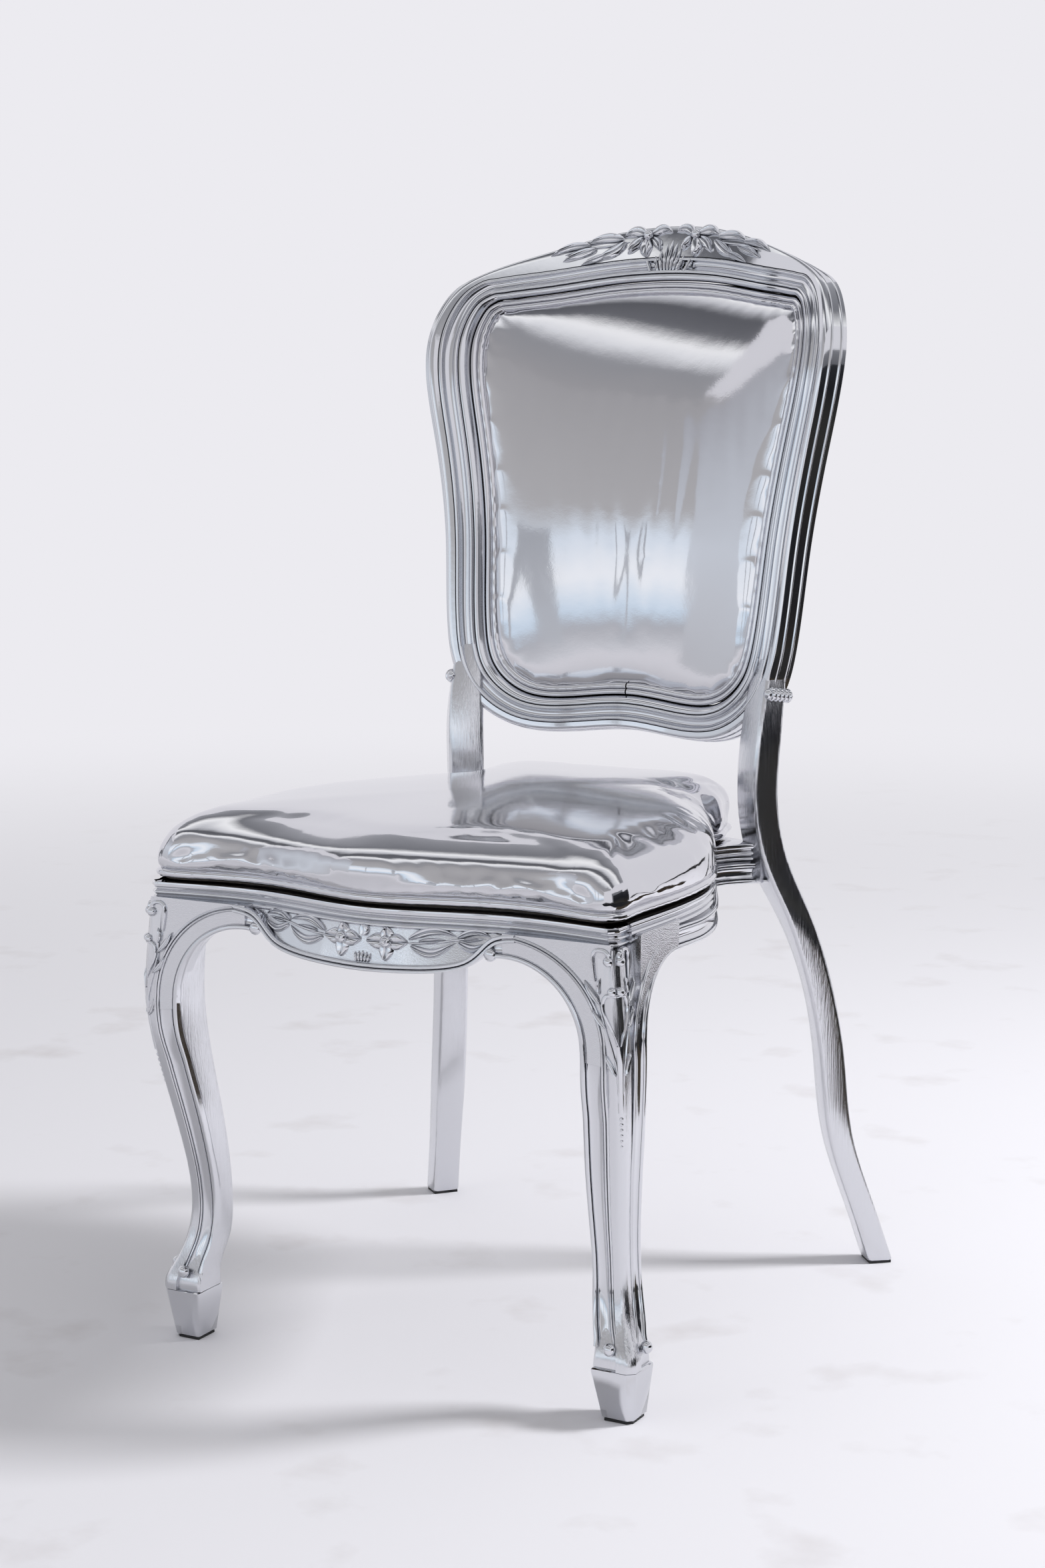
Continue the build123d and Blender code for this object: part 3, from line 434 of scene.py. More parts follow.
@dataclass(frozen=True)
class Finish:
    """A surface: its look when plain and the patterns that its makers leave on it."""

    name: str
    colour: str
    metallic: float
    roughness: float

    def material(self) -> bpy.types.Material:
        """Make the node material.

        Returns:
            The finished material.
        """
        made = bpy.data.materials.new(self.name)
        made.use_nodes = True
        tree = made.node_tree
        shader = tree.nodes["Principled BSDF"]
        shader.inputs["Base Color"].default_value = linear(self.colour)
        shader.inputs["Metallic"].default_value = self.metallic
        shader.inputs["Roughness"].default_value = self.roughness
        place = add_node(tree, "ShaderNodeTexCoord").outputs["Object"]
        self.pattern(tree, shader, place)
        return made

    def pattern(self, tree: bpy.types.NodeTree, shader: bpy.types.Node, place: bpy.types.NodeSocket) -> None:
        """Add the finish's own patterns; a plain finish has none."""

    @staticmethod
    def noise(tree: bpy.types.NodeTree, place: bpy.types.NodeSocket, size: Sequence[float],
              detail: float = 2.0,
              ) -> bpy.types.NodeSocket:
        """Cloudy pattern with features of a size in millimetres along each axis.

        Args:
            tree: Node tree of the material.
            place: Socket with places on the piece.
            size: Size of the features along each axis.
            detail: How many finer layers it has.

        Returns:
            A socket with values round 0.5.
        """
        scale = tuple(1 / (s * MM) for s in size)
        mapped = add_node(tree, "ShaderNodeMapping", {"Vector": place, "Scale": scale})
        return add_node(tree, "ShaderNodeTexNoise",
                        {"Vector": mapped.outputs[0], "Scale": 1.0, "Detail": detail}).outputs["Fac"]

    @staticmethod
    def vary(tree: bpy.types.NodeTree, value: bpy.types.NodeSocket, low: float,
             high: float) -> bpy.types.NodeSocket:
        """Spread a pattern's middle values over a range.

        Args:
            tree: Node tree of the material.
            value: Socket of the pattern.
            low: Least value.
            high: Greatest value.

        Returns:
            A socket with values from low to high.
        """
        return add_node(tree, "ShaderNodeMapRange",
                        {"Value": value, "From Min": 0.3, "From Max": 0.7, "To Min": low,
                                                     "To Max": high}).outputs[0]

    @staticmethod
    def emboss(tree: bpy.types.NodeTree, shader: bpy.types.Node,
               heights: Sequence[tuple[bpy.types.NodeSocket, float]],
               ) -> None:
        """Stack bumps on a shader, each a pattern with its height in millimetres.

        Args:
            tree: Node tree of the material.
            shader: Its shader.
            heights: Patterns with heights.
        """
        normal = None
        for pattern, height in heights:
            inputs = {"Height": pattern, "Distance": height * MM, "Strength": 1.0}
            if normal is not None:
                inputs["Normal"] = normal
            normal = add_node(tree, "ShaderNodeBump", inputs).outputs["Normal"]
        tree.links.new(normal, shader.inputs["Normal"])


@dataclass(frozen=True)
class PlatedPlastic(Finish):
    """Chrome plated on moulded ABS: a mirror, with the faint waves of the moulding under it and painted shade
    in its recesses.
    """

    wave: float = 9.0             # waves that the moulding's shrinkage leaves
    wave_height: float = 0.035
    haze: float = 22.0            # patches of handling haze
    recess: float = 3.2           # reach of the painted shade in recesses, found by ambient occlusion
    # painted shade: recesses take this darker base colour
    painted_shade_colour: str = "#a2a3a8"

    def paint_recess_shade(self, tree: bpy.types.NodeTree, shader: bpy.types.Node) -> None:
        """Paint shade into recesses: ambient occlusion darkens the base colour there.

        Args:
            tree: Node tree of the material.
            shader: Its shader.
        """
        open_share = add_node(tree, "ShaderNodeAmbientOcclusion", {"Distance": self.recess * MM}, samples=8)
        open_share = add_node(tree, "ShaderNodeMapRange",
                              {"Value": open_share.outputs["AO"], "From Min": 0.15,
                                                           "From Max": 0.8})
        tones = add_node(tree, "ShaderNodeMix", {0: open_share.outputs[0], 6: linear(self.painted_shade_colour),
                                                 7: linear(self.colour)}, data_type="RGBA")
        tree.links.new(tones.outputs[2], shader.inputs["Base Color"])

    def pattern(self, tree: bpy.types.NodeTree, shader: bpy.types.Node, place: bpy.types.NodeSocket) -> None:
        """Add soft waves, and haze that dulls the mirror in patches.

        Args:
            tree: Node tree of the material.
            shader: Its shader.
            place: Socket with places on the piece.
        """
        self.paint_recess_shade(tree, shader)
        waves = self.noise(tree, place, (self.wave,) * 3)
        haze = self.noise(tree, place, (self.haze,) * 3, 6.0)
        tree.links.new(self.vary(tree, haze, self.roughness * 0.7, self.roughness * 1.6),
                       shader.inputs["Roughness"])
        self.emboss(tree, shader, [(waves, self.wave_height)])


@dataclass(frozen=True)
class GrainedPlate(PlatedPlastic):
    """The same plating over an embossed wood grain: long dark and bright streaks up the posts."""

    grain: tuple[float, float, float] = (1.3, 1.3, 46.0)     # streak width twice and length
    grain_height: float = 0.22

    def pattern(self, tree: bpy.types.NodeTree, shader: bpy.types.Node, place: bpy.types.NodeSocket) -> None:
        """Add the waves and the grain's streaks.

        Args:
            tree: Node tree of the material.
            shader: Its shader.
            place: Socket with places on the piece.
        """
        self.paint_recess_shade(tree, shader)
        waves = self.noise(tree, place, (self.wave,) * 3)
        streaks = self.noise(tree, place, self.grain, 4.0)
        tree.links.new(self.vary(tree, streaks, self.roughness, self.roughness * 2.2),
                       shader.inputs["Roughness"])
        self.emboss(tree, shader, [(waves, self.wave_height), (streaks, self.grain_height)])


@dataclass(frozen=True)
class StippledPlate(PlatedPlastic):
    """The same plating over a stippled ground: it sparkles softly behind the carving."""

    stipple: float = 0.9          # real stipple is near 0.4 mm, drawn coarser so that it shows
    stipple_height: float = 0.12

    def pattern(self, tree: bpy.types.NodeTree, shader: bpy.types.Node, place: bpy.types.NodeSocket) -> None:
        """Add the waves and the stipple.

        Args:
            tree: Node tree of the material.
            shader: Its shader.
            place: Socket with places on the piece.
        """
        self.paint_recess_shade(tree, shader)
        waves = self.noise(tree, place, (self.wave,) * 3)
        dots = self.noise(tree, place, (self.stipple,) * 3, 1.0)
        tree.links.new(self.vary(tree, dots, self.roughness, self.roughness * 1.8),
                       shader.inputs["Roughness"])
        self.emboss(tree, shader, [(waves, self.wave_height), (dots, self.stipple_height)])


@dataclass(frozen=True)
class MirrorVinyl(Finish):
    """Metallised PVC film on knitted backing: a soft mirror that crinkles finely over the foam."""

    crinkle: float = 14.0          # creases that the stretched film shows
    crinkle_height: float = 0.05
    grain: float = 1.1            # leather grain, near 0.6 mm, drawn coarser so that it shows
    grain_height: float = 0.008

    def pattern(self, tree: bpy.types.NodeTree, shader: bpy.types.Node, place: bpy.types.NodeSocket) -> None:
        """Add creases, fine grain and uneven gloss.

        Args:
            tree: Node tree of the material.
            shader: Its shader.
            place: Socket with places on the piece.
        """
        creases = self.noise(tree, place, (self.crinkle,) * 3, 3.0)
        grain = self.noise(tree, place, (self.grain,) * 3, 1.0)
        gloss = self.noise(tree, place, (self.crinkle * 4,) * 3, 4.0)
        tree.links.new(self.vary(tree, gloss, self.roughness * 0.85, self.roughness * 1.2),
                       shader.inputs["Roughness"])
        self.emboss(tree, shader, [(creases, self.crinkle_height), (grain, self.grain_height)])


@dataclass(frozen=True)
class OpenFoam(Finish):
    """Cut polyurethane foam: matt, cream and full of small open cells."""

    cell: float = 1.6             # cells are near 0.8 mm, drawn coarser so that they show

    def pattern(self, tree: bpy.types.NodeTree, shader: bpy.types.Node, place: bpy.types.NodeSocket) -> None:
        """Add the cells.

        Args:
            tree: Node tree of the material.
            shader: Its shader.
            place: Socket with places on the piece.
        """
        mapped = add_node(tree, "ShaderNodeMapping", {"Vector": place, "Scale": (1 / (self.cell * MM),) * 3})
        cells = add_node(tree, "ShaderNodeTexVoronoi", {"Vector": mapped.outputs[0], "Scale": 1.0})
        self.emboss(tree, shader, [(cells.outputs["Distance"], 0.5)])


@dataclass(frozen=True)
class SawnBoard(Finish):
    """Plywood and hardboard: dark brown with streaks along the sheet and a dull face; the chair's board is
    made darker than plywood, as painted shade in the gaps under the pads.
    """

    dark: str = "#8a6a45"
    streak: tuple[float, float, float] = (3.0, 60.0, 3.0)

    def pattern(self, tree: bpy.types.NodeTree, shader: bpy.types.Node, place: bpy.types.NodeSocket) -> None:
        """Add streaks of two browns.

        Args:
            tree: Node tree of the material.
            shader: Its shader.
            place: Socket with places on the piece.
        """
        streaks = self.noise(tree, place, self.streak, 5.0)
        tones = add_node(tree, "ShaderNodeMix",
                         {0: self.vary(tree, streaks, 0.0, 1.0), 6: linear(self.colour),
                                                 7: linear(self.dark)}, data_type="RGBA")
        tree.links.new(tones.outputs[2], shader.inputs["Base Color"])
        self.emboss(tree, shader, [(streaks, 0.15)])


@dataclass(frozen=True)
class ZincSteel(Finish):
    """Zinc-plated steel: grey, satin and faintly spangled."""

    spangle: float = 2.5

    def pattern(self, tree: bpy.types.NodeTree, shader: bpy.types.Node, place: bpy.types.NodeSocket) -> None:
        """Add uneven gloss in spangles."""
        spangles = self.noise(tree, place, (self.spangle,) * 3, 3.0)
        tree.links.new(self.vary(tree, spangles, self.roughness * 0.7, self.roughness * 1.4),
                       shader.inputs["Roughness"])


@dataclass(frozen=True)
class GlidePlastic(Finish):
    """Moulded polyethylene: near black, with the dull scuffed look of a foot that slides on floors."""

    scuff: float = 4.0

    def pattern(self, tree: bpy.types.NodeTree, shader: bpy.types.Node, place: bpy.types.NodeSocket) -> None:
        """Add scuffs to the gloss and the surface.

        Args:
            tree: Node tree of the material.
            shader: Its shader.
            place: Socket with places on the piece.
        """
        scuffs = self.noise(tree, place, (self.scuff,) * 3, 5.0)
        tree.links.new(self.vary(tree, scuffs, self.roughness * 0.7, self.roughness * 1.3),
                       shader.inputs["Roughness"])
        self.emboss(tree, shader, [(scuffs, 0.05)])


class Palette:
    """The chair's materials, each made once."""

    def __init__(self) -> None:
        """Make every material."""
        # Chrome on moulded ABS: a cool mirror whose faint waves bend what it shows, with painted shade in the
        # grooves
        chrome = {"colour": "#dcdde1", "metallic": 1.0}
        self.plate = PlatedPlastic("chrome_plated_abs", roughness=0.07, **chrome).material()
        # The same chrome over embossed grain: the mirror breaks into streaks up the posts
        self.grained = GrainedPlate("chrome_plated_wood_grain_abs", roughness=0.11, **chrome).material()
        # The same chrome over stipple: a satin sparkle behind the carving
        self.stippled = StippledPlate("chrome_plated_stippled_abs", roughness=0.10, **chrome).material()
        # Metallised vinyl: a soft silver mirror, a little blurred and gathered at its edges
        self.vinyl = MirrorVinyl("metallised_vinyl", "#dbdbdf", 1.0, 0.075).material()
        # Plainer metallised sheet: satin silver without clear reflections
        self.rear_vinyl = MirrorVinyl("metallised_vinyl_backing_sheet", "#cfcfd4", 1.0, 0.28, crinkle=45.0,
                                      crinkle_height=0.02).material()
        # Hidden pieces: matt cream foam, board in plywood brown darkened near black as painted shade in the
        # gaps under the pads, satin grey zinc and dull black polyethylene
        self.by_slot = {
            Slot.PLATED: self.plate,
            Slot.VINYL: self.vinyl,
            Slot.FOAM: OpenFoam("cut_polyurethane_foam", "#e3dcc0", 0.0, 0.95).material(),
            # near-black board: partly the plywood's own brown, partly painted shade for the gaps under the
            # pads
            Slot.BOARD: SawnBoard("plywood_darkened_as_gap_shade", "#3d352d", 0.0, 0.75, dark="#2a2420").material(),
            Slot.ZINC: ZincSteel("zinc_plated_steel", "#b9bcc0", 1.0, 0.35).material(),
            Slot.GLIDE: GlidePlastic("moulded_polyethylene", "#17181a", 0.0, 0.55).material(),
        }


@dataclass
class BackShape:
    """Curved front surface of the back and the line of its ring."""

    foot_y: float = 162.0
    slope: float = 0.19
    curl_start: float = 780.0
    curl: float = 0.00103
    bow: float = 0.0016
    bow_rise: float = 1.1e-6
    bottom: float = 482.0
    crest: float = 932.0
    foot_half: float = 160.0
    head_half: float = 193.0
    head_z: float = 812.0
    shoulder_z: float = 889.0
    band: float = 28.0
    crest_ground: float = 23.0
    crest_half: float = 165.0

    def __post_init__(self) -> None:
        """Draw the ring's outer line, closed, from the bottom centre up the right side."""
        foot, head, low, top = self.foot_half, self.head_half, self.bottom, self.crest
        right = [(0, low), (foot * 0.4, low - 5), (foot * 0.63, low - 1), (foot * 0.82, low + 16),
                 (foot * 0.95, low + 43),
                 (foot + 2.5, low + 85), (foot + 9, low + 168), (head - 12, self.head_z - 77),
                 (head - 2, self.head_z - 19), (head - 0.5, self.head_z + 17), (head - 6.5, self.head_z + 46),
                 (foot + 17, self.shoulder_z - 13), (foot - 3, self.shoulder_z + 2), (foot * 0.72, top - 24),
                 (foot * 0.38, top - 7), (0, top)]
        self.line = SmoothLine(right + [(-x, z) for x, z in right[-2:0:-1]], closed=True)

    def depth(self, x: Array, z: Array) -> Array:
        """Y of the front surface at a width and a height."""
        curl = self.curl * np.maximum(0, z - self.curl_start) ** 2
        bow = (self.bow + self.bow_rise * (z - self.bottom)) * x * x
        return self.foot_y + self.slope * (z - self.bottom) + curl - bow

    def normal(self, x: Array, z: Array) -> Array:
        """Unit vectors from the front surface into the back.

        Args:
            x: Widths.
            z: Heights.

        Returns:
            One vector for each pair.
        """
        slope_x = (self.depth(x + 1, z) - self.depth(x - 1, z)) / 2
        slope_z = (self.depth(x, z + 1) - self.depth(x, z - 1)) / 2
        return unit(np.stack([-slope_x, np.ones_like(slope_x), -slope_z], axis=-1))

    def width(self, x: Array, z: Array) -> Array:
        """Width of the moulded band with the crest's plain ground."""
        ground = self.crest_ground * np.maximum(0, 1 - (x / self.crest_half) ** 2)
        return self.band + ground * ease((z - self.shoulder_z + 4) / 8)

    def rows(self, shares: Array, profile: Callable[[float], Sequence[tuple[float, float]]]) -> Array:
        """Sections of a profile carried round the ring.

        Args:
            shares: Places round the ring, from 0 to 1.
            profile: Gives (across, depth) pairs for a band's width.

        Returns:
            Sections, points and coordinates.
        """
        outer = self.line.at(shares)
        along = self.line.heading(shares)
        inward = np.stack([-along[:, 1], along[:, 0]], axis=1)[:, None]
        widths = self.width(outer[:, 0], outer[:, 1])
        shape = np.array([profile(width) for width in widths])
        across, depth = shape[..., :1], shape[..., 1:]
        flat = outer[:, None] + inward * across
        normal = self.normal(flat[..., 0], flat[..., 1])
        lean = np.clip(1 - across / self.band, 0, 1)
        slip = normal[..., :1] * inward[..., :1] + normal[..., 2:] * inward[..., 1:]
        moved = flat + inward * depth * lean * slip
        rear = depth * (lean * normal[..., 1:2] + (1 - lean) / normal[..., 1:2])
        y = self.depth(flat[..., 0], flat[..., 1])[..., None] + rear
        return np.concatenate([moved[..., :1], y, moved[..., 1:]], axis=-1)


@dataclass
class Carver:
    """Lays leaves, petals, ribbons and balls on a surface."""

    mould: Mould
    surface: Callable[[Array, Array], Array]
    slot: int = 0

    def frame(self, u: float, v: float) -> tuple[Array, Array, Array, Array]:
        """Point, two tangents and outward normal of the surface.

        Args:
            u: First coordinate on the surface.
            v: Second coordinate.

        Returns:
            Four vectors.
        """
        step = 0.5
        place = self.surface(u, v)
        right = unit(self.surface(u + step, v) - self.surface(u - step, v))
        up = unit(self.surface(u, v + step) - self.surface(u, v - step))
        return place, right, up, unit(np.cross(right, up))

    def ribbon(self, points: Sequence[tuple[float, float]], width: Callable[[Array], Array], height: float,
               crease: float = 0.0, lift: float = 0.0, mirror: bool = True, steps: int = 22) -> None:
        """Lay a raised band along a line on the surface.

        Args:
            points: Its middle line as (u, v) pairs.
            width: Its width at shares of its length.
            height: How far its middle stands proud.
            crease: Depth of a groove along its middle.
            lift: Extra height of its far end.
            mirror: Whether the mirror image is added too.
            steps: Sections along it.
        """
        line = SmoothLine(points)
        shares = np.linspace(0, 1, steps)
        middle, way = line.at(shares), line.heading(shares)
        widths = np.maximum(width(shares), 0.12)
        rows = []
        for (u, v), (du, dv), size, share in zip(middle, way, widths, shares):
            place, right, up, out = self.frame(u, v)
            side = right * -dv + up * du
            tall = min(height, size * 0.9) + lift * share ** 2
            section = []
            for k in range(9):
                across = k / 4 - 1
                groove = crease * math.exp(-(across * 4) ** 2) * tall / height
                rise = tall * math.sqrt(max(0.0, 1 - across * across)) - groove
                section.append(place + side * (across * size / 2) + out * rise)
            section += [place - side * (size * 0.45) - out * 2.0,
                        place + side * (size * 0.45) - out * 2.0][::-1]
            rows.append(section)
        self.mould.sweep(np.array(rows), self.slot, mirror=mirror)

    def leaf(self, points: Sequence[tuple[float, float]], width: float, height: float = 2.2,
             crease: float = 0.9,
             lift: float = 0.0, mirror: bool = True) -> None:
        """Lay a pointed leaf with a creased middle along a line on the surface."""
        self.ribbon(points, lambda s: width * np.sin(math.pi * np.clip(0.06 + 0.94 * s ** 0.85, 0, 1)) ** 0.8,
                    height, crease,
                    lift, mirror)

    def cord(self, points: Sequence[tuple[float, float]], width: float, height: float,
             mirror: bool = True) -> None:
        """Lay an even round-topped cord along a line on the surface."""
        self.ribbon(points, lambda s: width * np.clip(np.minimum(s, 1 - s) * 14, 0.25, 1), height,
                    mirror=mirror, steps=30)

    def bead(self, u: float, v: float, radius: float, flat: float = 0.8, mirror: bool = True,
             rise: float = 0.0) -> None:
        """Set a ball into the surface, flattened towards it."""
        place, right, up, out = self.frame(u, v)
        self.mould.ball(place + out * rise, (radius, radius, radius * flat), self.slot, mirror,
                        np.array([right, up, out]))


@dataclass
class BackFrame:
    """Rear legs, ring, crest carving and ears: one plated moulding."""

    shape: BackShape
    palette: Palette
    shift: float
    ring_depth: float = 26.0
    bead: float = 1.5
    cove: float = 3.2
    stations: int = 320
    corner: float = 4.0           # rounding of the rear legs' edges
    ear_z: float = 524.0
    ear_radius: float = 6.2
    ear_length: float = 23.0

    def profile(self, width: float) -> list[tuple[float, float]]:
        """Section of the ring: side wall with two ridges, rim, ground, beads, cove and inner wall.

        Args:
            width: Width of the band with its ground.

        Returns:
            Pairs of (across, depth).
        """
        deep = self.ring_depth
        points = [(1.0, deep), (0.0, deep - 1.5)]
        for ridge in (21.0, 11.0):
            points += [(0, ridge + 0.4)]
            points += [(-0.9 * math.sin(math.pi * k / 5), ridge - 3 * k / 5) for k in range(6)]
        points += [(0, 7.6), (0, 3.2), (0.3, 1.9), (1.0, 1.0), (2.2, 0.6)]
        ground = width - 21.5
        points += [(2.2 + (ground - 2.6) * s, 0.6) for s in (0.25, 0.5, 0.75)]
        points += [(ground - 0.6, 0.6), (ground - 0.2, 1.9)]
        points += round_run((ground, 0.9), (ground + 3.2, 0.6), self.bead + 0.5)
        points += round_run((ground + 3.3, 0.7), (ground + 10.8, 0.9), -self.cove)
        points += [(ground + 10.9, 2.2)]
        points += round_run((ground + 11.1, 0.9), (ground + 14.5, 0.5), self.bead + 0.9)
        points += [(ground + 14.5, 0.6), (ground + 14.7, 1.9)]
        points += round_run((ground + 15.0, 0.6), (ground + 19.9, 2.0), self.bead)
        points += [(width - 1.2, 3.0), (width - 0.3, 4.2), (width, 6.0), (width, deep - 1), (width - 1, deep)]
        return points

    def ring(self, mould: Mould) -> None:
        """Sweep the ring, close together where it turns.

        Args:
            mould: Mesh that takes the shape.
        """
        fine = np.linspace(0, 1, 2001)
        way = self.shape.line.heading(fine)
        cost = np.concatenate([[0], np.cumsum(1 / 2000 + 0.16 * np.linalg.norm(np.diff(way, axis=0),
                                                                               axis=1))])
        shares = np.interp(np.linspace(0, cost[-1], self.stations, endpoint=False), cost, fine)
        mould.sweep(self.shape.rows(shares, self.profile), ring=True)

    def leg_stations(self) -> list[tuple[float, ...]]:
        """Height, place, width, depth and turn along the right rear leg.

        Returns:
            Rows of height, x, y, width, depth and turn in degrees.
        """
        top = (150.0, float(self.shape.depth(150.0, 552.0)) + 15)
        seat = (146.5, float(self.shape.depth(146.5, 482.0)) + 8.5)
        return [
            (2.5, 228, 231, 26.5, 23, 50), (60, 215, 214, 26.5, 23, 50), (120, 202, 197, 28.5, 23, 51),
            (200, 194.5, 189.5, 28.5, 23, 51), (276, seat[0] + 38, seat[1] + 39, 28.5, 23, 51),
            (327, seat[0] + 25, seat[1] + 23, 30, 24, 42), (372, seat[0] + 8.5, seat[1] + 9, 32, 25, 35),
            (430, seat[0], seat[1], 32, 25, 35), (485, seat[0] + 1.5, seat[1] + 2, 32, 25, 35),
            (520, top[0] - 0.7, (seat[1] + top[1]) / 2, 29, 23, 31), (552, top[0], top[1], 26, 21, 27),
        ]

    def legs(self, mould: Mould) -> None:
        """Sweep the two rear legs.

        Args:
            mould: Mesh that takes the shape.
        """
        table = np.array(self.leg_stations())
        line = SmoothLine(table[:, 1:], knots=table[:, 0])
        heights = np.concatenate([[2.5, 3.1, 4.2], np.linspace(6, 552, 90)])
        trims = np.concatenate([[0.93, 0.975, 1.0], np.ones(90)])
        rows = []
        for z, trim, (x, y, width, depth, turn) in zip(heights, trims, line.value(heights)):
            angle = math.radians(turn)
            face = np.array([-math.sin(angle), -math.cos(angle), 0])
            side = np.array([math.cos(angle), -math.sin(angle), 0])
            points = []
            for quarter, (f, s) in enumerate([(1, -1), (1, 1), (-1, 1), (-1, -1)]):
                start = (math.pi, math.pi / 2, 0, -math.pi / 2)[quarter]
                for k in range(5):
                    bend = start - math.pi / 2 * k / 4
                    along_side = s * (width / 2 - self.corner) + self.corner * math.cos(bend)
                    along_face = f * (depth / 2 - self.corner) + self.corner * math.sin(bend)
                    points.append(np.array([x, y, z]) + (side * along_side + face * along_face) * trim)
            rows.append(points)
        mould.sweep(np.array(rows), 1, mirror=True)

    def ears(self, mould: Mould) -> None:
        """Turn the ribbed scroll on the outside of each stile.

        Args:
            mould: Mesh that takes the shape.
        """
        x = self.shape.foot_half - 3
        normal = self.shape.normal(np.array(x), np.array(self.ear_z))
        front = np.array([x, float(self.shape.depth(x, self.ear_z)), self.ear_z]) + normal * 2
        profile = [(-4.6, 0.4), (-4.2, 2.0), (-3.0, 3.5), (-1.4, 4.5), (0, 4.6), (0.2, self.ear_radius - 0.7)]
        for k in range(5):
            start = 0.6 + k * self.ear_length / 5
            span = self.ear_length / 5
            profile += [(start + span * share, self.ear_radius - 1.8 + 1.8 * math.sin(math.pi * share))
                        for share in (0.08, 0.25, 0.5, 0.75, 0.92)]
        profile += [(self.ear_length + 0.6, self.ear_radius - 1.6), (self.ear_length + 1, 0.5)]
        mould.lathe(front, normal, profile)

    def carve_crest(self, mould: Mould) -> None:
        """Lay the two flowers, the fan and the leaf sprigs on the crest's ground.

        Args:
            mould: Mesh that takes the shape.
        """
        shape = self.shape

        def ground(u: float, v: float) -> Array:
            """Point of the crest's plain ground."""
            return np.array([u, float(shape.depth(np.array(u), np.array(v))) + 0.6, v])

        carver = Carver(mould, ground)
        petals = [((27, 922), (36, 926), (48, 921), 12.0), ((21, 922), (12, 928), (2.0, 925), 10.5),
                  ((24, 919), (25.5, 911), (23.5, 902.5), 13.0), ((28, 919), (36, 914), (42, 905.5), 10.0),
                  ((20, 919), (14, 914.5), (11.5, 908), 9.0)]
        for *points, width in petals:
            carver.leaf(points, width, 5.2, 2.6)
        carver.bead(24.3, 921.0, 4.6, 1.2, rise=3.4)
        for tip_x, tip_z, base_x in ((0.0, 918.5, 0.0), (5.0, 915.5, 2.8), (10.0, 910.0, 5.6),
                                     (14.5, 904.0, 8.6)):
            carver.leaf([(base_x, 888.5), ((tip_x + base_x) / 2 + tip_x * 0.06, (tip_z + 889.5) / 2),
                         (tip_x, tip_z)], 4.6, 4.4,
                        1.2, mirror=tip_x > 0)
        carver.cord([(16.5, 888.5), (20, 895), (22.5, 901)], 3.0, 3.0)
        for points, width in (([(45, 916), (57, 907), (69, 901.5)], 11.5),
                              ([(48, 919), (64, 920.5), (81, 914)], 11.0),
                              ([(71, 910), (85, 906), (99, 899)], 10.0),
                              ([(77, 913.5), (93, 912.5), (110, 904)], 9.0),
                              ([(60, 905), (72, 900.5), (83, 895.5)], 7.0)):
            carver.leaf(points, width, 4.4, 2.4)
        carver.cord([(42, 917), (60, 913), (78, 911), (98, 905)], 2.2, 2.4)

    def build(self) -> bpy.types.Object:
        """Build and dress the moulding.

        Returns:
            The new piece.
        """
        mould = Mould(self.shift)
        self.ring(mould)
        self.legs(mould)
        self.ears(mould)
        self.carve_crest(mould)
        piece = mould.build("back_frame_moulding", [self.palette.plate, self.palette.grained])
        return seat_piece(piece, Slot.PLATED, "back_frame")


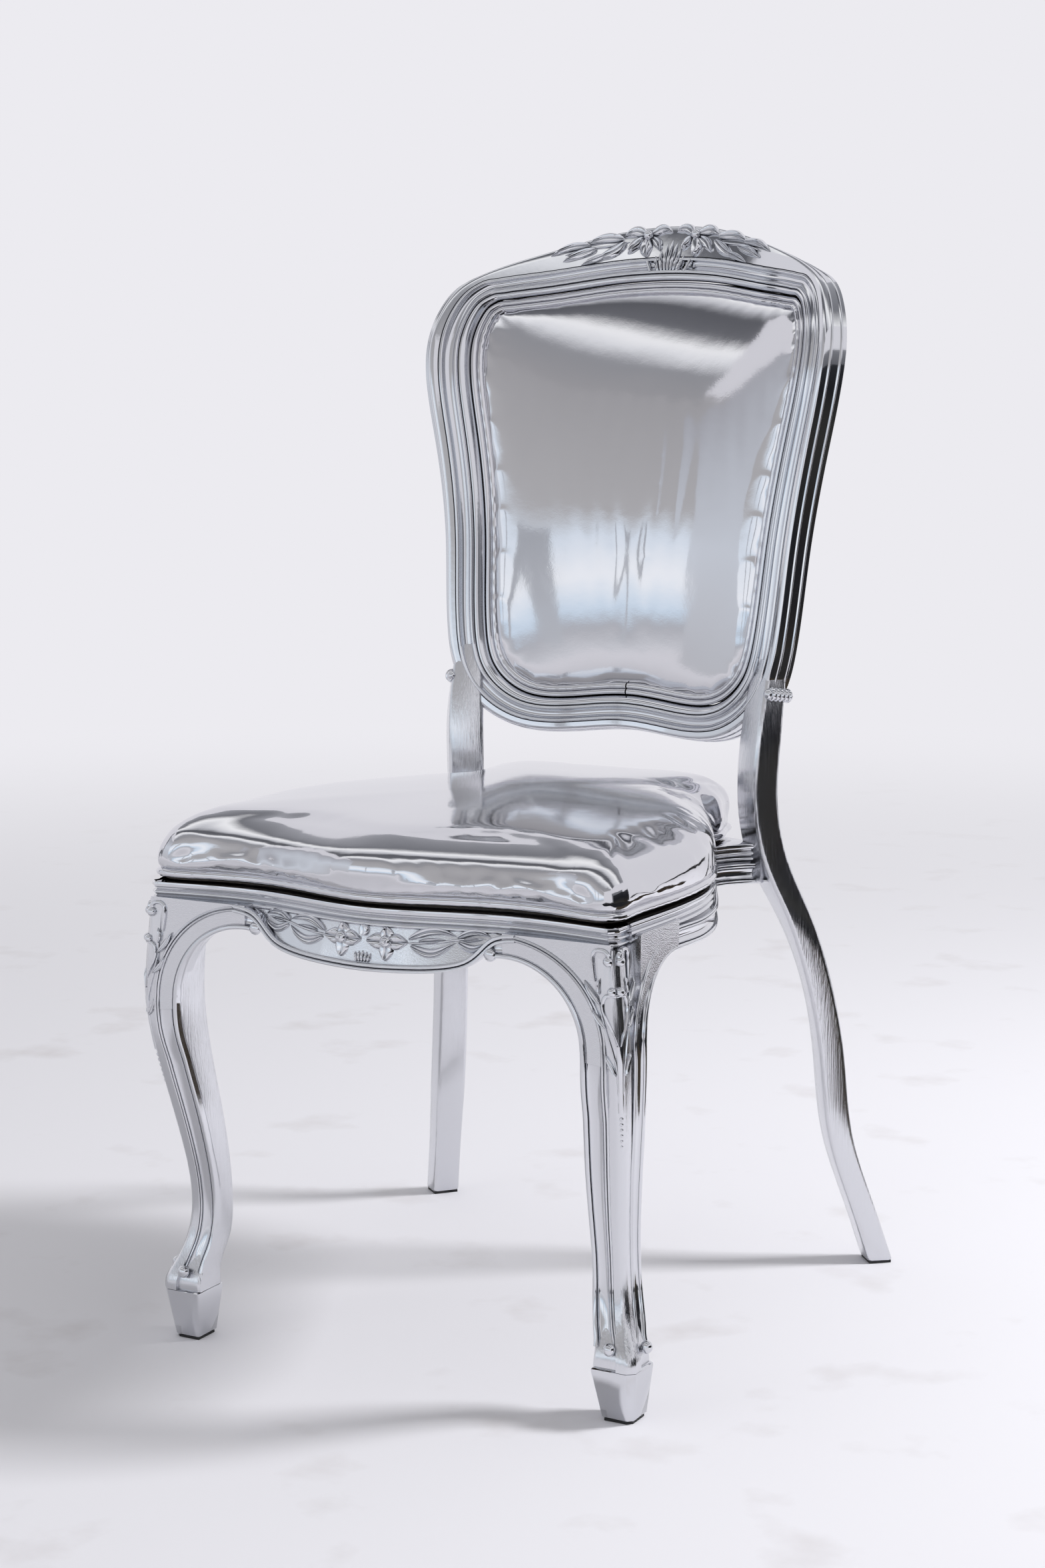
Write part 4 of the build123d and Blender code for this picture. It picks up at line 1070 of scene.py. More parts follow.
@dataclass
class SeatFrame:
    """Rails, front legs, scroll bands and their carving: one plated moulding."""

    palette: Palette
    shift: float
    lip_z: float = 392.0
    rail_width: float = 24.0
    face_y: float = -271.7        # plane of the front scroll band
    arch: tuple[float, float, float] = (118.0, 296.0, 65.0)        # centre x and z, radius
    side_arch: tuple[float, float, float] = (-170.0, 299.0, 60.0)  # centre y and z, radius
    chamfer: float = 6.0
    knee: float = 38.0

    def __post_init__(self) -> None:
        """Draw the leg's corner line and the rails' lines."""
        leg = [(44, 219, -251.5, 37), (52, 218.5, -251, 36), (64, 213.5, -245.5, 32), (82, 207, -237.5, 29.5),
               (115, 202.5, -233, 27.5), (160, 204.5, -240, 29.5), (220, 212, -255.5, 34),
               (275, 217.3, -268.5, 37),
               (305, 218, -272, 38), (352, 214, -272, 38), (391.4, 211, -270, 38)]
        self.leg_line = SmoothLine([row[1:] for row in leg], knots=[row[0] for row in leg])
        self.front_line = SmoothLine([(-211, -270), (-108, -262), (0, -281), (108, -262), (211, -270)])
        self.side_line = SmoothLine([(211, -242.6), (213, -185), (203, -80), (168, 0), (138, 58), (123, 93),
                                     (131, 113),
                                     (162.6, 139.8)])

    def leg_sections(self, mould: Mould) -> None:
        """Sweep the legs' cores, set back where the scroll bands lie on them.

        Args:
            mould: Mesh that takes the shape.
        """
        heights = np.linspace(44, 375.5, 110)
        rows = []
        for (x, y, size), z in zip(self.leg_line.value(heights), heights):
            cut = self.chamfer * size / self.knee
            bare = 0.40 * size
            step = 3.0
            widen = float(ease((z - 190) / 100))
            inner, rear = x - size + 3 * widen + 0.5, y + size + 4 * widen - 0.5
            rows.append([
                (x - cut - 0.6, y), (x - cut + 0.5, y + 0.25), (x - 0.25, y + cut - 0.5), (x, y + cut + 0.6),
                (x, y + bare), (x - step, y + bare + 0.6), (x - step, rear - 2), (x - step - 2, rear),
                (inner + 3, rear), (inner + 0.9, rear - 0.9), (inner, rear - 3), (inner, y + step + 2),
                (inner + 2, y + step),
                (x - bare - 0.6, y + step), (x - bare, y)])
        points = [np.column_stack([np.array(row), np.full(len(row), z)]) for row, z in zip(rows, heights)]
        mould.sweep(np.array(points), 1, mirror=True)

    def foot(self, mould: Mould) -> None:
        """Loft the tapered block feet with softened edges.

        Args:
            mould: Mesh that takes the shape.
        """
        rows = []
        for z, share, trim in ((2.5, 0, 0.9), (3.6, 0.02, 0), (41.5, 0.95, 0), (43.4, 1.0, 0.3),
                               (44.4, 1.0, 1.4)):
            x, y = 214 + 5 * share - trim, -242.5 - 9 * share + trim
            size = 26 + 11 * share - 2 * trim
            cut = self.chamfer * size / self.knee
            rows.append([(x - cut, y, z), (x - cut * 0.5, y + cut * 0.45, z), (x, y + cut, z),
                         (x, y + size - 1, z),
                         (x - 1, y + size, z), (x - size + 1, y + size, z), (x - size, y + size - 1, z),
                         (x - size, y + 1, z),
                         (x - size + 1, y, z)])
        mould.sweep(np.array(rows), mirror=True)

    def front_band_path(self) -> tuple[Array, Array]:
        """Line of the front scroll band, from the toe up the leg and round the arch.

        Returns:
            Points of its lower edge and the vectors over its width.
        """
        centre_x, centre_z, radius = self.arch
        heights = np.linspace(60, centre_z, 90)
        x, y, size = self.leg_line.value(heights).T
        edge = x - size + 3 * ease((heights - 190) / 100)
        path = np.column_stack([edge, y, heights])
        across = np.column_stack([0.645 * size - 3 * ease((heights - 190) / 100) * 0.6, np.zeros(90),
                                  np.zeros(90)])
        turn = np.radians(np.linspace(1.5, 100, 60))
        wide = across[-1, 0] + (18.5 - across[-1, 0]) * ease(turn / 1.4)
        bend = np.column_stack([centre_x + radius * np.cos(turn), np.full(60, self.face_y),
                                centre_z + radius * np.sin(turn)])
        fan = np.column_stack([wide * np.cos(turn), np.zeros(60), wide * np.sin(turn)])
        path[:, 1] += 2.6 * (1 - ease((heights - 58) / 18))
        settle = ease((heights - 240) / 56)[:, None]
        path[:, 1:2] = path[:, 1:2] * (1 - settle) + np.minimum(path[:, 1:2], self.face_y) * settle
        return np.vstack([path, bend]), np.vstack([across, fan])

    @staticmethod
    def flute_profile(rise: float = 1.3, dip: float = 2.6) -> Array:
        """Edge bead and flute of a scroll band, over 0 to 0.79 of its width.

        Args:
            rise: How far the bead stands proud.
            dip: Depth of the flute.

        Returns:
            Pairs of (share, height).
        """
        points = round_run((0, 0), (0.19, 0.2), rise, 7) + [(0.19, 0.3), (0.20, 1.5), (0.22, 1.5)]
        points += round_run((0.23, 0.2), (0.77, 0.2), -dip, 12) + [(0.77, 0.2), (0.78, 1.4), (0.8, 1.4)]
        return np.array([(s, -h) for s, h in points])

    @staticmethod
    def double_profile(rise: float = 1.4) -> Array:
        """Two small beads of a scroll band, over 0.79 to 1 of its width.

        Args:
            rise: How far the beads stand proud.

        Returns:
            Pairs of (share, height).
        """
        points = round_run((0.79, 0.2), (0.885, 0.4), rise, 6) + [(0.885, 0.4), (0.8925, 1.3)]
        points += round_run((0.90, 0.4), (1.0, 0.2), rise, 6) + [(1.0, 0.2), (1.0, 1.2)]
        return np.array([(s, -h) for s, h in points])

    def front_bands(self, mould: Mould) -> None:
        """Lay the front scroll bands, their balls and the double bead that runs on under the apron.

        Args:
            mould: Mesh that takes the shape.
        """
        path, across = self.front_band_path()
        outward = np.tile([0.0, -1.0, 0.0], (len(path), 1))
        mould.strip(path, across, outward, self.flute_profile(), 7.0)
        taper = len(path) - 10
        mould.strip(path[:taper], across[:taper], outward[:taper], self.double_profile(), 7.0)
        mould.ball((106.5, self.face_y + 0.5, 363.0), (5.4, 4.0, 5.4))
        tail = [path[taper - 1] + across[taper - 1] * 0.9, (108, -271.8, 372.3), (98, -272.6, 363.2),
                (88, -274.4, 355.2),
                (73, -277.2, 350.2), (40, -282.4, 346.6), (0, -285.3, 345.4), (-3, -285.3, 345.4)]
        line = SmoothLine(tail)
        shares = np.linspace(0, 1, 70)
        middle, way = line.at(shares), line.heading(shares)
        side = unit(np.column_stack([way[:, 2], np.zeros(70), -way[:, 0]])) * 6.4
        self.tail_line = middle
        flat = self.double_profile() - [0.8925, 0]
        mould.strip(middle, side * 4.6, np.tile([0.0, -1.0, 0.0], (70, 1)), flat, 8.0)
        self.toe_ball(mould, (197.6, -249.6, 60.5))

    @staticmethod
    def toe_ball(mould: Mould, place: tuple[float, float, float]) -> None:
        """Set the ball in which a flute ends above the foot."""
        mould.ball(place, (5.0, 4.6, 5.2))

    def side_bands(self, mould: Mould) -> None:
        """Lay the side scroll bands from the toe up the leg, round the arch and along the side rail.

        Args:
            mould: Mesh that takes the shape.
        """
        centre_y, centre_z, radius = self.side_arch
        heights = np.linspace(60, centre_z, 90)
        x, y, size = self.leg_line.value(heights).T
        settle = ease((heights - 190) / 100)
        edge = y + size - settle * (y[-1] + size[-1] - centre_y + radius)
        path = np.column_stack([x - 2.6 * (1 - ease((heights - 58) / 18)), edge, heights])
        across = np.column_stack([np.zeros(90), -0.60 * size + 2 * settle, np.zeros(90)])
        outward = np.tile([1.0, 0.0, 0.0], (90, 1))
        shares = np.linspace(0, 1, 400)
        rail, way = self.side_line.at(shares), self.side_line.heading(shares)
        turn = np.radians(np.linspace(1.5, 90, 50))
        bend_y = centre_y - radius * np.cos(turn)
        rail_x = np.interp(bend_y, rail[:60, 1], rail[:60, 0]) + 1.2
        bend_x = x[-1] + (rail_x - x[-1]) * ease(turn / 1.5)
        wide = -across[-1, 1] + (18.0 + across[-1, 1]) * ease(turn / 1.4)
        path = np.vstack([path, np.column_stack([bend_x, bend_y, centre_z + radius * np.sin(turn)])])
        across = np.vstack([across, np.column_stack([np.zeros(50), -wide * np.cos(turn),
                                                     wide * np.sin(turn)])])
        outward = np.vstack([outward, np.tile([1.0, 0.0, 0.0], (50, 1))])
        start = int(np.searchsorted(rail[:, 1], centre_y)) + 3
        run = rail[start:]
        normal = np.column_stack([way[start:, 1], -way[start:, 0], np.zeros(len(run))])
        low = centre_z + radius - 2.0 * ease((run[:, 1] - centre_y) / 60)
        path = np.vstack([path, np.column_stack([run, low]) + normal * 1.2])
        across = np.vstack([across, np.tile([0.0, 0.0, 18.0], (len(run), 1))])
        outward = np.vstack([outward, normal])
        outward = unit(outward)
        mould.strip(path, across, outward, self.flute_profile(), 8.0)
        mould.strip(path, across, outward, self.double_profile(), 8.0)
        self.toe_ball(mould, (218.6, -227.5, 59.5))

    def brackets(self, mould: Mould) -> None:
        """Fill the plates between arch, leg and rail, on the front and on the side.

        Args:
            mould: Mesh that takes the shape.
        """
        turn = np.radians(np.linspace(-6, 91, 60))
        for front in (True, False):
            middle, centre_z, radius = self.arch if front else self.side_arch
            reach_out, reach_up = (90.0, 84.0) if front else (66.0, 84.0)
            inner = radius + 3
            outer = np.maximum(inner + 2, np.minimum(reach_out / np.maximum(np.cos(turn), 0.05),
                                                     reach_up / np.maximum(np.sin(turn), 0.05)))
            rows = []
            for angle, far in zip(turn, outer):
                section = []
                for reach, back in ((inner, 0.8), ((inner + far) / 2, 0.6), (far, 0.4), (far, 22.0),
                                    (inner, 22.0)):
                    z = centre_z + reach * math.sin(angle)
                    if front:
                        section.append((middle + reach * math.cos(angle), self.face_y + back, z))
                    else:
                        section.append((216.3 - back, middle - reach * math.cos(angle), z))
                rows.append(section)
            mould.sweep(np.array(rows), 2, mirror=True)

    def apron_y(self, x: Array, z: Array) -> Array:
        """Y of the apron's face at a width and a height.

        Args:
            x: Widths.
            z: Heights.

        Returns:
            One depth for each pair.
        """
        lip = np.interp(x, *self.front_samples())
        low = np.interp(np.abs(x), [0, 40, 73, 88, 106, 118, 135],
                        [-285.0, -282.2, -277.0, -274.2, -271.6, -270.6, -269.0])
        share = np.clip((self.lip_z - 15 - z) / 30, 0, 1)
        return lip + 2.6 + (low + 1.6 - lip - 2.6) * share

    def front_samples(self) -> tuple[Array, Array]:
        """X and Y along the front rail's outer line."""
        points = self.front_line.at(np.linspace(0, 1, 200))
        return points[:, 0], points[:, 1]

    def apron(self, mould: Mould) -> None:
        """Fill the apron's stippled ground between the lip's beads and the double bead.

        Args:
            mould: Mesh that takes the shape.
        """
        order = np.argsort(self.tail_line[:, 0])
        rows = []
        for x in np.linspace(-135, 135, 120):
            bottom = float(np.interp(abs(x), self.tail_line[order, 0], self.tail_line[order, 2])) - 1.0
            lip = float(np.interp(x, *self.front_samples()))
            heights = np.linspace(self.lip_z - 14, bottom, 12)
            front = [(x, float(self.apron_y(x, z)), z) for z in heights]
            rows.append([*front, (x, lip + self.rail_width - 4, bottom),
                         (x, lip + self.rail_width, bottom + 4),
                         (x, lip + self.rail_width, self.lip_z - 14)])
        mould.sweep(np.array(rows), 2)

    def lip(self, mould: Mould) -> None:
        """Carry the lip, its step and its two beads round front, corner and side.

        Args:
            mould: Mesh that takes the shape.
        """
        front = self.front_line.at(np.linspace(0.5, 1, 90))
        front = front[front[:, 0] < 204]
        side = self.side_line.at(np.linspace(0, 1, 160))
        corner = np.array([(205.0, -269.6), (211.3, -263.4)])
        up = np.column_stack([np.full(8, 211.3), np.linspace(-261, -245, 8)])
        line = np.vstack([front, corner, up, side])
        before = unit(np.diff(line, axis=0, prepend=line[:1] - [[1, 0]]))
        after = np.vstack([before[1:], before[-1:]])
        mean = unit(before + after)
        stretch = 1 / np.maximum(0.5, np.sum(mean * before, axis=1, keepdims=True))
        normal = np.column_stack([mean[:, 1], -mean[:, 0]]) * stretch
        top = self.lip_z
        profile = [(-1.2, top), (-0.3, top - 0.4), (0, top - 1.2), (0, top - 3.6), (-0.6, top - 4.4),
                   (-2.4, top - 5.2),
                   (-2.6, top - 6.0)]
        profile += [(-2.4 + 2.2 * math.sin(math.pi * k / 7), top - 6.4 - 4.4 * k / 7) for k in range(8)]
        profile += [(-2.6 + 2.2 * math.sin(math.pi * k / 7), top - 11.2 - 4.4 * k / 7) for k in range(8)]
        profile += [(-3.2, top - 17), (-3.2, top - 20), (-self.rail_width + 5, top - 36),
                    (-self.rail_width + 1, top - 34),
                    (-self.rail_width, top - 30), (-self.rail_width, top - 1), (-self.rail_width + 1, top)]
        rows = [[(*(p + n * out), z) for out, z in profile] for p, n in zip(line, normal)]
        mould.sweep(np.array(rows), mirror=True)

    def rear_rail(self, mould: Mould) -> None:
        """Sweep the bowed rear rail between the rear legs.

        Args:
            mould: Mesh that takes the shape.
        """
        rows = []
        for share in np.linspace(-1, 1, 40):
            x = 155 * share
            y = 145.2 + 32.8 * (1 - share * share)
            rows.append([(x, y - 20, 359.5), (x, y - 18.5, 358), (x, y - 1.5, 358), (x, y, 359.5),
                         (x, y, 388.5),
                         (x, y - 1.5, 390), (x, y - 18.5, 390), (x, y - 20, 388.5)])
        mould.sweep(np.array(rows), 1)

    def bosses(self, mould: Mould) -> None:
        """Turn the four bosses under the seat board."""
        for x, y in ((165.0, -224.0), (95.0, 138.0)):
            mould.lathe((x, y, 362), (0, 0, 1), [(0, 3.4), (0, 12.6), (1.2, 14), (31.8, 14), (31.9, 3)])

    def carve_knee(self, mould: Mould) -> None:
        """Lay the volutes, leaves, husk and stem on each knee, folded round its chamfer.

        Args:
            mould: Mesh that takes the shape.
        """
        line = self.leg_line
        half = 4.2

        def wrap(u: float, v: float) -> Array:
            """Point of the knee at a distance across its corner and a height.

            Args:
                u: Distance across the corner.
                v: Height.

            Returns:
                The point.
            """
            x, y, size = line.value(v)[0]
            cut = self.chamfer * size / self.knee / 2
            back = max(0.0, abs(u) - half)
            base = np.array([x - cut, y + cut, v])
            across = np.array([1.0, 1.0, 0.0]) / math.sqrt(2)
            out = np.array([1.0, -1.0, 0.0]) / math.sqrt(2)
            return base + across * u - out * back

        carver = Carver(mould, wrap)
        for way in (-1, 1):
            def pair(points: Sequence[tuple[float, float]]) -> list[tuple[float, float]]:
                """The points on this side of the corner."""
                return [(way * u, v) for u, v in points]

            carver.ribbon(pair([(4.2, 366), (6.0, 375), (10.5, 375.5), (13.4, 366), (12.8, 352)]),
                          lambda s: 4.6 - 3.2 * s, 2.6)
            carver.bead(way * 4.4, 367.5, 3.9, 0.9, rise=0.8)
            carver.leaf(pair([(10.4, 342.5), (10.9, 348.5), (9.2, 355)]), 3.8, 2.2)
            carver.leaf(pair([(10.6, 334.5), (15.5, 343), (19.2, 352)]), 5.0, 2.4)
            carver.bead(way * 3.3, 345.0, 3.5, 0.9, rise=0.6)
            carver.ribbon(pair([(0.0, 341.8), (6.0, 342.2), (9.0, 336.5), (6.5, 321), (0.6, 303)]),
                          lambda s: 3.6 - 2.2 * s, 2.2)
            carver.leaf(pair([(8.2, 317), (12.8, 324), (15.6, 331.5)]), 5.0, 2.4)
            carver.leaf(pair([(3.4, 281), (6.8, 289), (9.6, 298)]), 4.6, 2.2)
            carver.cord(pair([(11.0, 334), (8.4, 316), (4.6, 297), (2.6, 281), (2.0, 262)]), 1.6, 1.3)
        carver.ribbon([(0, 304), (0, 280), (0, 251)], lambda s: 6.5 - 1.6 * s, 1.5)
        for k in range(6):
            carver.bead(0.0, 246 - 4.6 * k, 1.7 - 0.12 * k, 0.7)

    def carve_apron(self, mould: Mould) -> None:
        """Lay the two flowers, bud, fan and leaf sprigs on the apron.

        Args:
            mould: Mesh that takes the shape.
        """

        def ground(u: float, v: float) -> Array:
            """Point of the apron's face."""
            return np.array([u, float(self.apron_y(np.array(u), np.array(v))), v])

        carver = Carver(mould, ground)
        centre = (19.8, 366.0)
        for tip, width in (((37.5, 366.5), 13.0), ((2.2, 366.2), 13.0), ((19.0, 378.0), 12.5),
                           ((20.0, 351.0), 13.0)):
            middle = ((centre[0] + tip[0]) / 2, (centre[1] + tip[1]) / 2)
            carver.leaf([centre, middle, tip], width, 3.6, 2.4)
        carver.bead(*centre, 5.0, 1.0, rise=2.2)
        carver.bead(*centre, 2.2, 1.0, rise=6.4)
        carver.leaf([(0, 369), (0, 374), (0, 379.5)], 10.0, 4.2, 1.4, mirror=False)
        for k in range(-2, 3):
            carver.leaf([(k * 2.4, 349.0), (k * 3.0, 353), (k * 3.6, 358 - abs(k) * 0.8)], 3.2, 3.4, 0.8,
                        mirror=False)
        for points, width in (([(38, 369), (54, 376), (75, 373)], 7.5),
                              ([(40, 364), (56, 359.5), (75, 368.5)], 7.5),
                              ([(46, 368), (56, 368.5), (67, 370)], 5.0),
                              ([(76, 372), (88, 377), (102, 374)], 6.5),
                              ([(77, 368.5), (89, 364.5), (101, 370.5)], 6.5),
                              ([(80, 370.5), (87, 371), (96, 371.8)], 4.0)):
            carver.leaf(points, width, 3.4, 2.0)
        carver.cord([(36, 366), (56, 367), (76, 370.5), (98, 372.5)], 1.9, 2.2)

    def build(self) -> bpy.types.Object:
        """Build and dress the moulding.

        Returns:
            The new piece.
        """
        mould = Mould(self.shift)
        self.leg_sections(mould)
        self.foot(mould)
        self.front_bands(mould)
        self.side_bands(mould)
        self.brackets(mould)
        self.apron(mould)
        self.lip(mould)
        self.rear_rail(mould)
        self.bosses(mould)
        self.carve_knee(mould)
        self.carve_apron(mould)
        piece = mould.build("seat_frame_moulding",
                            [self.palette.plate, self.palette.grained, self.palette.stippled])
        return seat_piece(piece, Slot.PLATED, "seat_frame")


@dataclass
class ClothRun:
    """Short cloth simulation that swells a pad and lets its cover wrinkle."""

    pressure: float
    cap: float                    # most that a point may move
    voxel: float = 5.0            # spacing of the cloth's points
    frames: int = 20

    def run(self, piece: bpy.types.Object, pinned: Callable[[Array], Array]) -> None:
        """Remesh a pad, swell it and keep the result in its mesh.

        Args:
            piece: The pad.
            pinned: Gives a hold from 0 to 1 for points in metres.
        """
        scene = bpy.context.scene
        remesh = piece.modifiers.new("remesh", "REMESH")
        remesh.mode = "VOXEL"
        remesh.voxel_size = self.voxel * MM
        remesh.use_smooth_shade = True
        soften = piece.modifiers.new("soften", "SMOOTH")
        soften.factor = 0.5
        soften.iterations = 6
        self.apply(piece)
        before = self.points(piece)
        hold = piece.vertex_groups.new(name="hold")
        weights = pinned(before)
        for index, weight in enumerate(weights):
            if weight > 0:
                hold.add([index], float(weight), "REPLACE")
        cloth = piece.modifiers.new("cloth", "CLOTH")
        settings = cloth.settings
        settings.quality = 5
        settings.mass = 0.3
        settings.use_pressure = True
        settings.uniform_pressure_force = self.pressure
        settings.effector_weights.gravity = 0
        settings.vertex_group_mass = "hold"
        settings.bending_stiffness = 0.4
        cloth.collision_settings.use_collision = False
        for frame in range(1, self.frames + 1):
            scene.frame_set(frame)
        self.apply(piece)
        scene.frame_set(1)
        move = self.points(piece) - before
        length = np.linalg.norm(move, axis=1, keepdims=True)
        move *= np.minimum(1, self.cap * MM / np.maximum(length, 1e-9)) * (1 - weights)[:, None]
        piece.data.vertices.foreach_set("co", (before + move).ravel())
        piece.vertex_groups.clear()
        LOG.info("%s swelled by up to %.1f mm", piece.name, float(length.max()) / MM)

    @staticmethod
    def apply(piece: bpy.types.Object) -> None:
        """Put the result of a piece's modifiers into its mesh.

        Args:
            piece: The object.
        """
        graph = bpy.context.evaluated_depsgraph_get()
        mesh = bpy.data.meshes.new_from_object(piece.evaluated_get(graph))
        piece.modifiers.clear()
        piece.data = mesh

    @staticmethod
    def points(piece: bpy.types.Object) -> Array:
        """Vertex places of a piece.

        Args:
            piece: The object.

        Returns:
            One row for each vertex, in metres.
        """
        flat = np.empty(len(piece.data.vertices) * 3)
        piece.data.vertices.foreach_get("co", flat)
        return flat.reshape(-1, 3)


def soften(pad: bpy.types.Object, finish: bpy.types.Material) -> None:
    """Smooth a pad and make sure that it has its finish.

    Args:
        pad: The cushion.
        finish: Its material.
    """
    pad.data.shade_smooth()
    smooth = pad.modifiers.new("smooth", "SUBSURF")
    smooth.levels = smooth.render_levels = 1
    if not pad.data.materials:
        pad.data.materials.append(finish)


@dataclass
class SeatPad:
    """Crowned seat cushion with gathered sides, and the piping under it."""

    palette: Palette
    shift: float
    base_z: float = 402.3
    height: float = 50.0
    piping: float = 6.8
    corner: tuple[float, float] = (212.0, -268.0)      # tip of the right front corner in plan
    corner_pull: float = 9.0      # how much rounder the corners are above the piping
    corner_reach: float = 26.0
    rolled_edge: float = 9.0      # inset up to which the outline moves in evenly
    half_width: float = 211.0
    middle_y: float = -51.5       # middle of the crown
    waist_y: float = 100.0        # the rear notch
    rear_reach: float = 85.0      # about the length behind the notch
    front_reach: float = 374.0    # about the length in front of it

    def __post_init__(self) -> None:
        """Draw the outline at the pad's widest, closed, from the front centre round the right side."""
        right = [(0, -287), (54, -276.5), (108, -264), (162, -266), (195, -272), (209, -270), (215, -263),
                 (216, -246),
                 (217, -192), (207, -80), (170, 0), (138, 58), (123, 88), (125, 111), (122, 127), (115, 149),
                 (109, 170),
                 (95, 180), (48, 182), (0, 182)]
        self.right = np.array(right, float)

    def outline(self, inset: float, count: int = 260) -> Array:
        """Closed outline drawn in by inset, as points in plan.

        Args:
            inset: How far it is drawn in.
            count: Number of points.

        Returns:
            Points round the pad.
        """
        edge = min(inset, self.rolled_edge)
        crown = 1 - (inset - edge) / self.half_width
        behind = self.right[:, 1] - self.waist_y
        share = behind / np.where(behind > 0, self.rear_reach, self.front_reach)
        half = np.column_stack([self.right[:, 0] * (1 - edge / self.half_width) * crown,
                                self.middle_y + (self.right[:, 1] - edge * share - self.middle_y) * crown])
        line = SmoothLine(np.vstack([half, half[-2:0:-1] * [-1, 1]]), closed=True)
        return line.at(np.linspace(0, 1, count, endpoint=False))

    def round_corners(self, plan: Array, pull: float) -> Array:
        """Draw the two front corners of an outline in.

        Args:
            plan: Points in plan.
            pull: How far the tip of each corner moves.

        Returns:
            The moved points.
        """
        side = np.where(plan[:, 0] > 0, 1.0, -1.0)
        away = np.hypot(np.abs(plan[:, 0]) - self.corner[0], plan[:, 1] - self.corner[1])
        move = pull * np.exp(-(away / self.corner_reach) ** 2) / math.sqrt(2)
        return plan + np.column_stack([-side * move, move])

    def shell(self) -> Mould:
        """Loft the pad from its bottom edge over the crown to its middle.

        Returns:
            The mesh before it is built.
        """
        mould = Mould(self.shift)
        levels = SmoothLine([(6.8,), (4.8,), (1.7,), (0,), (2.4,), (8.6,), (20,), (45,), (112,)],
                            knots=[-0.07, 0, 0.2, 0.38, 0.56, 0.71, 0.83, 0.93, 1.0])
        rows = []
        for up in (-0.07, -0.03, 0.03, 0.1, 0.2, 0.3, 0.42, 0.52, 0.62, 0.7, 0.77, 0.83, 0.88, 0.925, 0.96,
                   0.98, 1.0):
            inset = max(0.0, float(levels.value(up)[0, 0]))
            plan = self.round_corners(self.outline(inset + 1.0),
                                      self.corner_pull * float(ease(np.array(up / 0.55))))
            rows.append(np.column_stack([plan,
                                         np.full(len(plan),
                                                 self.base_z + self.height * up - 1.5 * (up > 0.5))]))
        for inset, extra in ((140, 0.8), (165, 1.3), (185, 1.6), (200, 1.7)):
            plan = self.outline(inset)
            rows.append(np.column_stack([plan, np.full(len(plan), self.base_z + self.height - 1.5 + extra)]))
        mould.sweep(np.array(rows))
        return mould

    def gather(self, piece: bpy.types.Object) -> None:
        """Press gathers into the sides, deepest at the corners and the rear notch.

        Args:
            piece: The cushion.
        """
        points = ClothRun.points(piece)
        flat = points[:, :2] / MM - [0, self.shift]
        along, gap = along_line(self.outline(0.0, 900), flat)
        height = points[:, 2] / MM - self.base_z
        places = np.array([(215, -263), (195, -272), (123, 88), (138, 58), (122, 127), (0, -287),
                           (108, -264)])
        worth = np.array([3.0, 1.6, 2.2, 1.2, 2.0, 0.5, 0.9])
        near = np.zeros(len(points))
        for (x, y), weight in zip(places, worth):
            away = np.hypot(np.abs(flat[:, 0]) - x, flat[:, 1] - y)
            near += weight * np.exp(-(away / 34) ** 2)
        ripple = np.sin(along / 3.3 + 2.1 * np.sin(along / 41))
        ripple += 0.7 * np.sin(along / 5.3 + 1.3 * np.sin(along / 23) + 1.0)
        low = np.exp(-(np.maximum(0, height - 2) / 22) ** 2) * (height > 1.5)
        depth = (0.20 + 0.20 * near) * low * ripple * np.exp(-gap / 20)
        middle = flat - np.array([0, self.middle_y])
        out = middle / np.maximum(1, np.linalg.norm(middle, axis=1, keepdims=True))
        points[:, :2] += out * depth[:, None] * MM
        piece.data.vertices.foreach_set("co", points.ravel())

    def build(self) -> list[bpy.types.Object]:
        """Build, swell and dress the pad, then lay the piping.

        Returns:
            The pad and the piping.
        """
        pad = self.shell().build("seat_pad_cover", [self.palette.vinyl])
        low = (self.base_z + 3) * MM
        ClothRun(pressure=2.0, cap=3.0).run(pad, lambda p: (p[:, 2] < low).astype(float))
        self.gather(pad)
        soften(pad, self.palette.vinyl)
        seat_piece(pad, Slot.VINYL, "seat_cover", "seat_foam")
        mould = Mould(self.shift)
        line = self.outline(7.0, 420)
        way = unit(np.roll(line, -1, axis=0) - np.roll(line, 1, axis=0))
        normal = np.column_stack([way[:, 1], -way[:, 0]])
        radius = self.piping / 2
        rows = []
        for k, (p, n) in enumerate(zip(line, normal)):
            pinch = 1 + 0.03 * math.sin(k * 1.9) + 0.02 * math.sin(k * 0.7)
            rows.append([(*(p + n * radius * pinch * math.cos(a)),
                          self.base_z - 3.1 + radius * pinch * math.sin(a))
                         for a in np.linspace(0, 2 * math.pi, 12, endpoint=False)])
        mould.sweep(np.array(rows), ring=True)
        cord = mould.build("seat_pad_piping", [self.palette.vinyl], 60)
        return [pad, seat_piece(cord, Slot.VINYL, "seat_piping")]


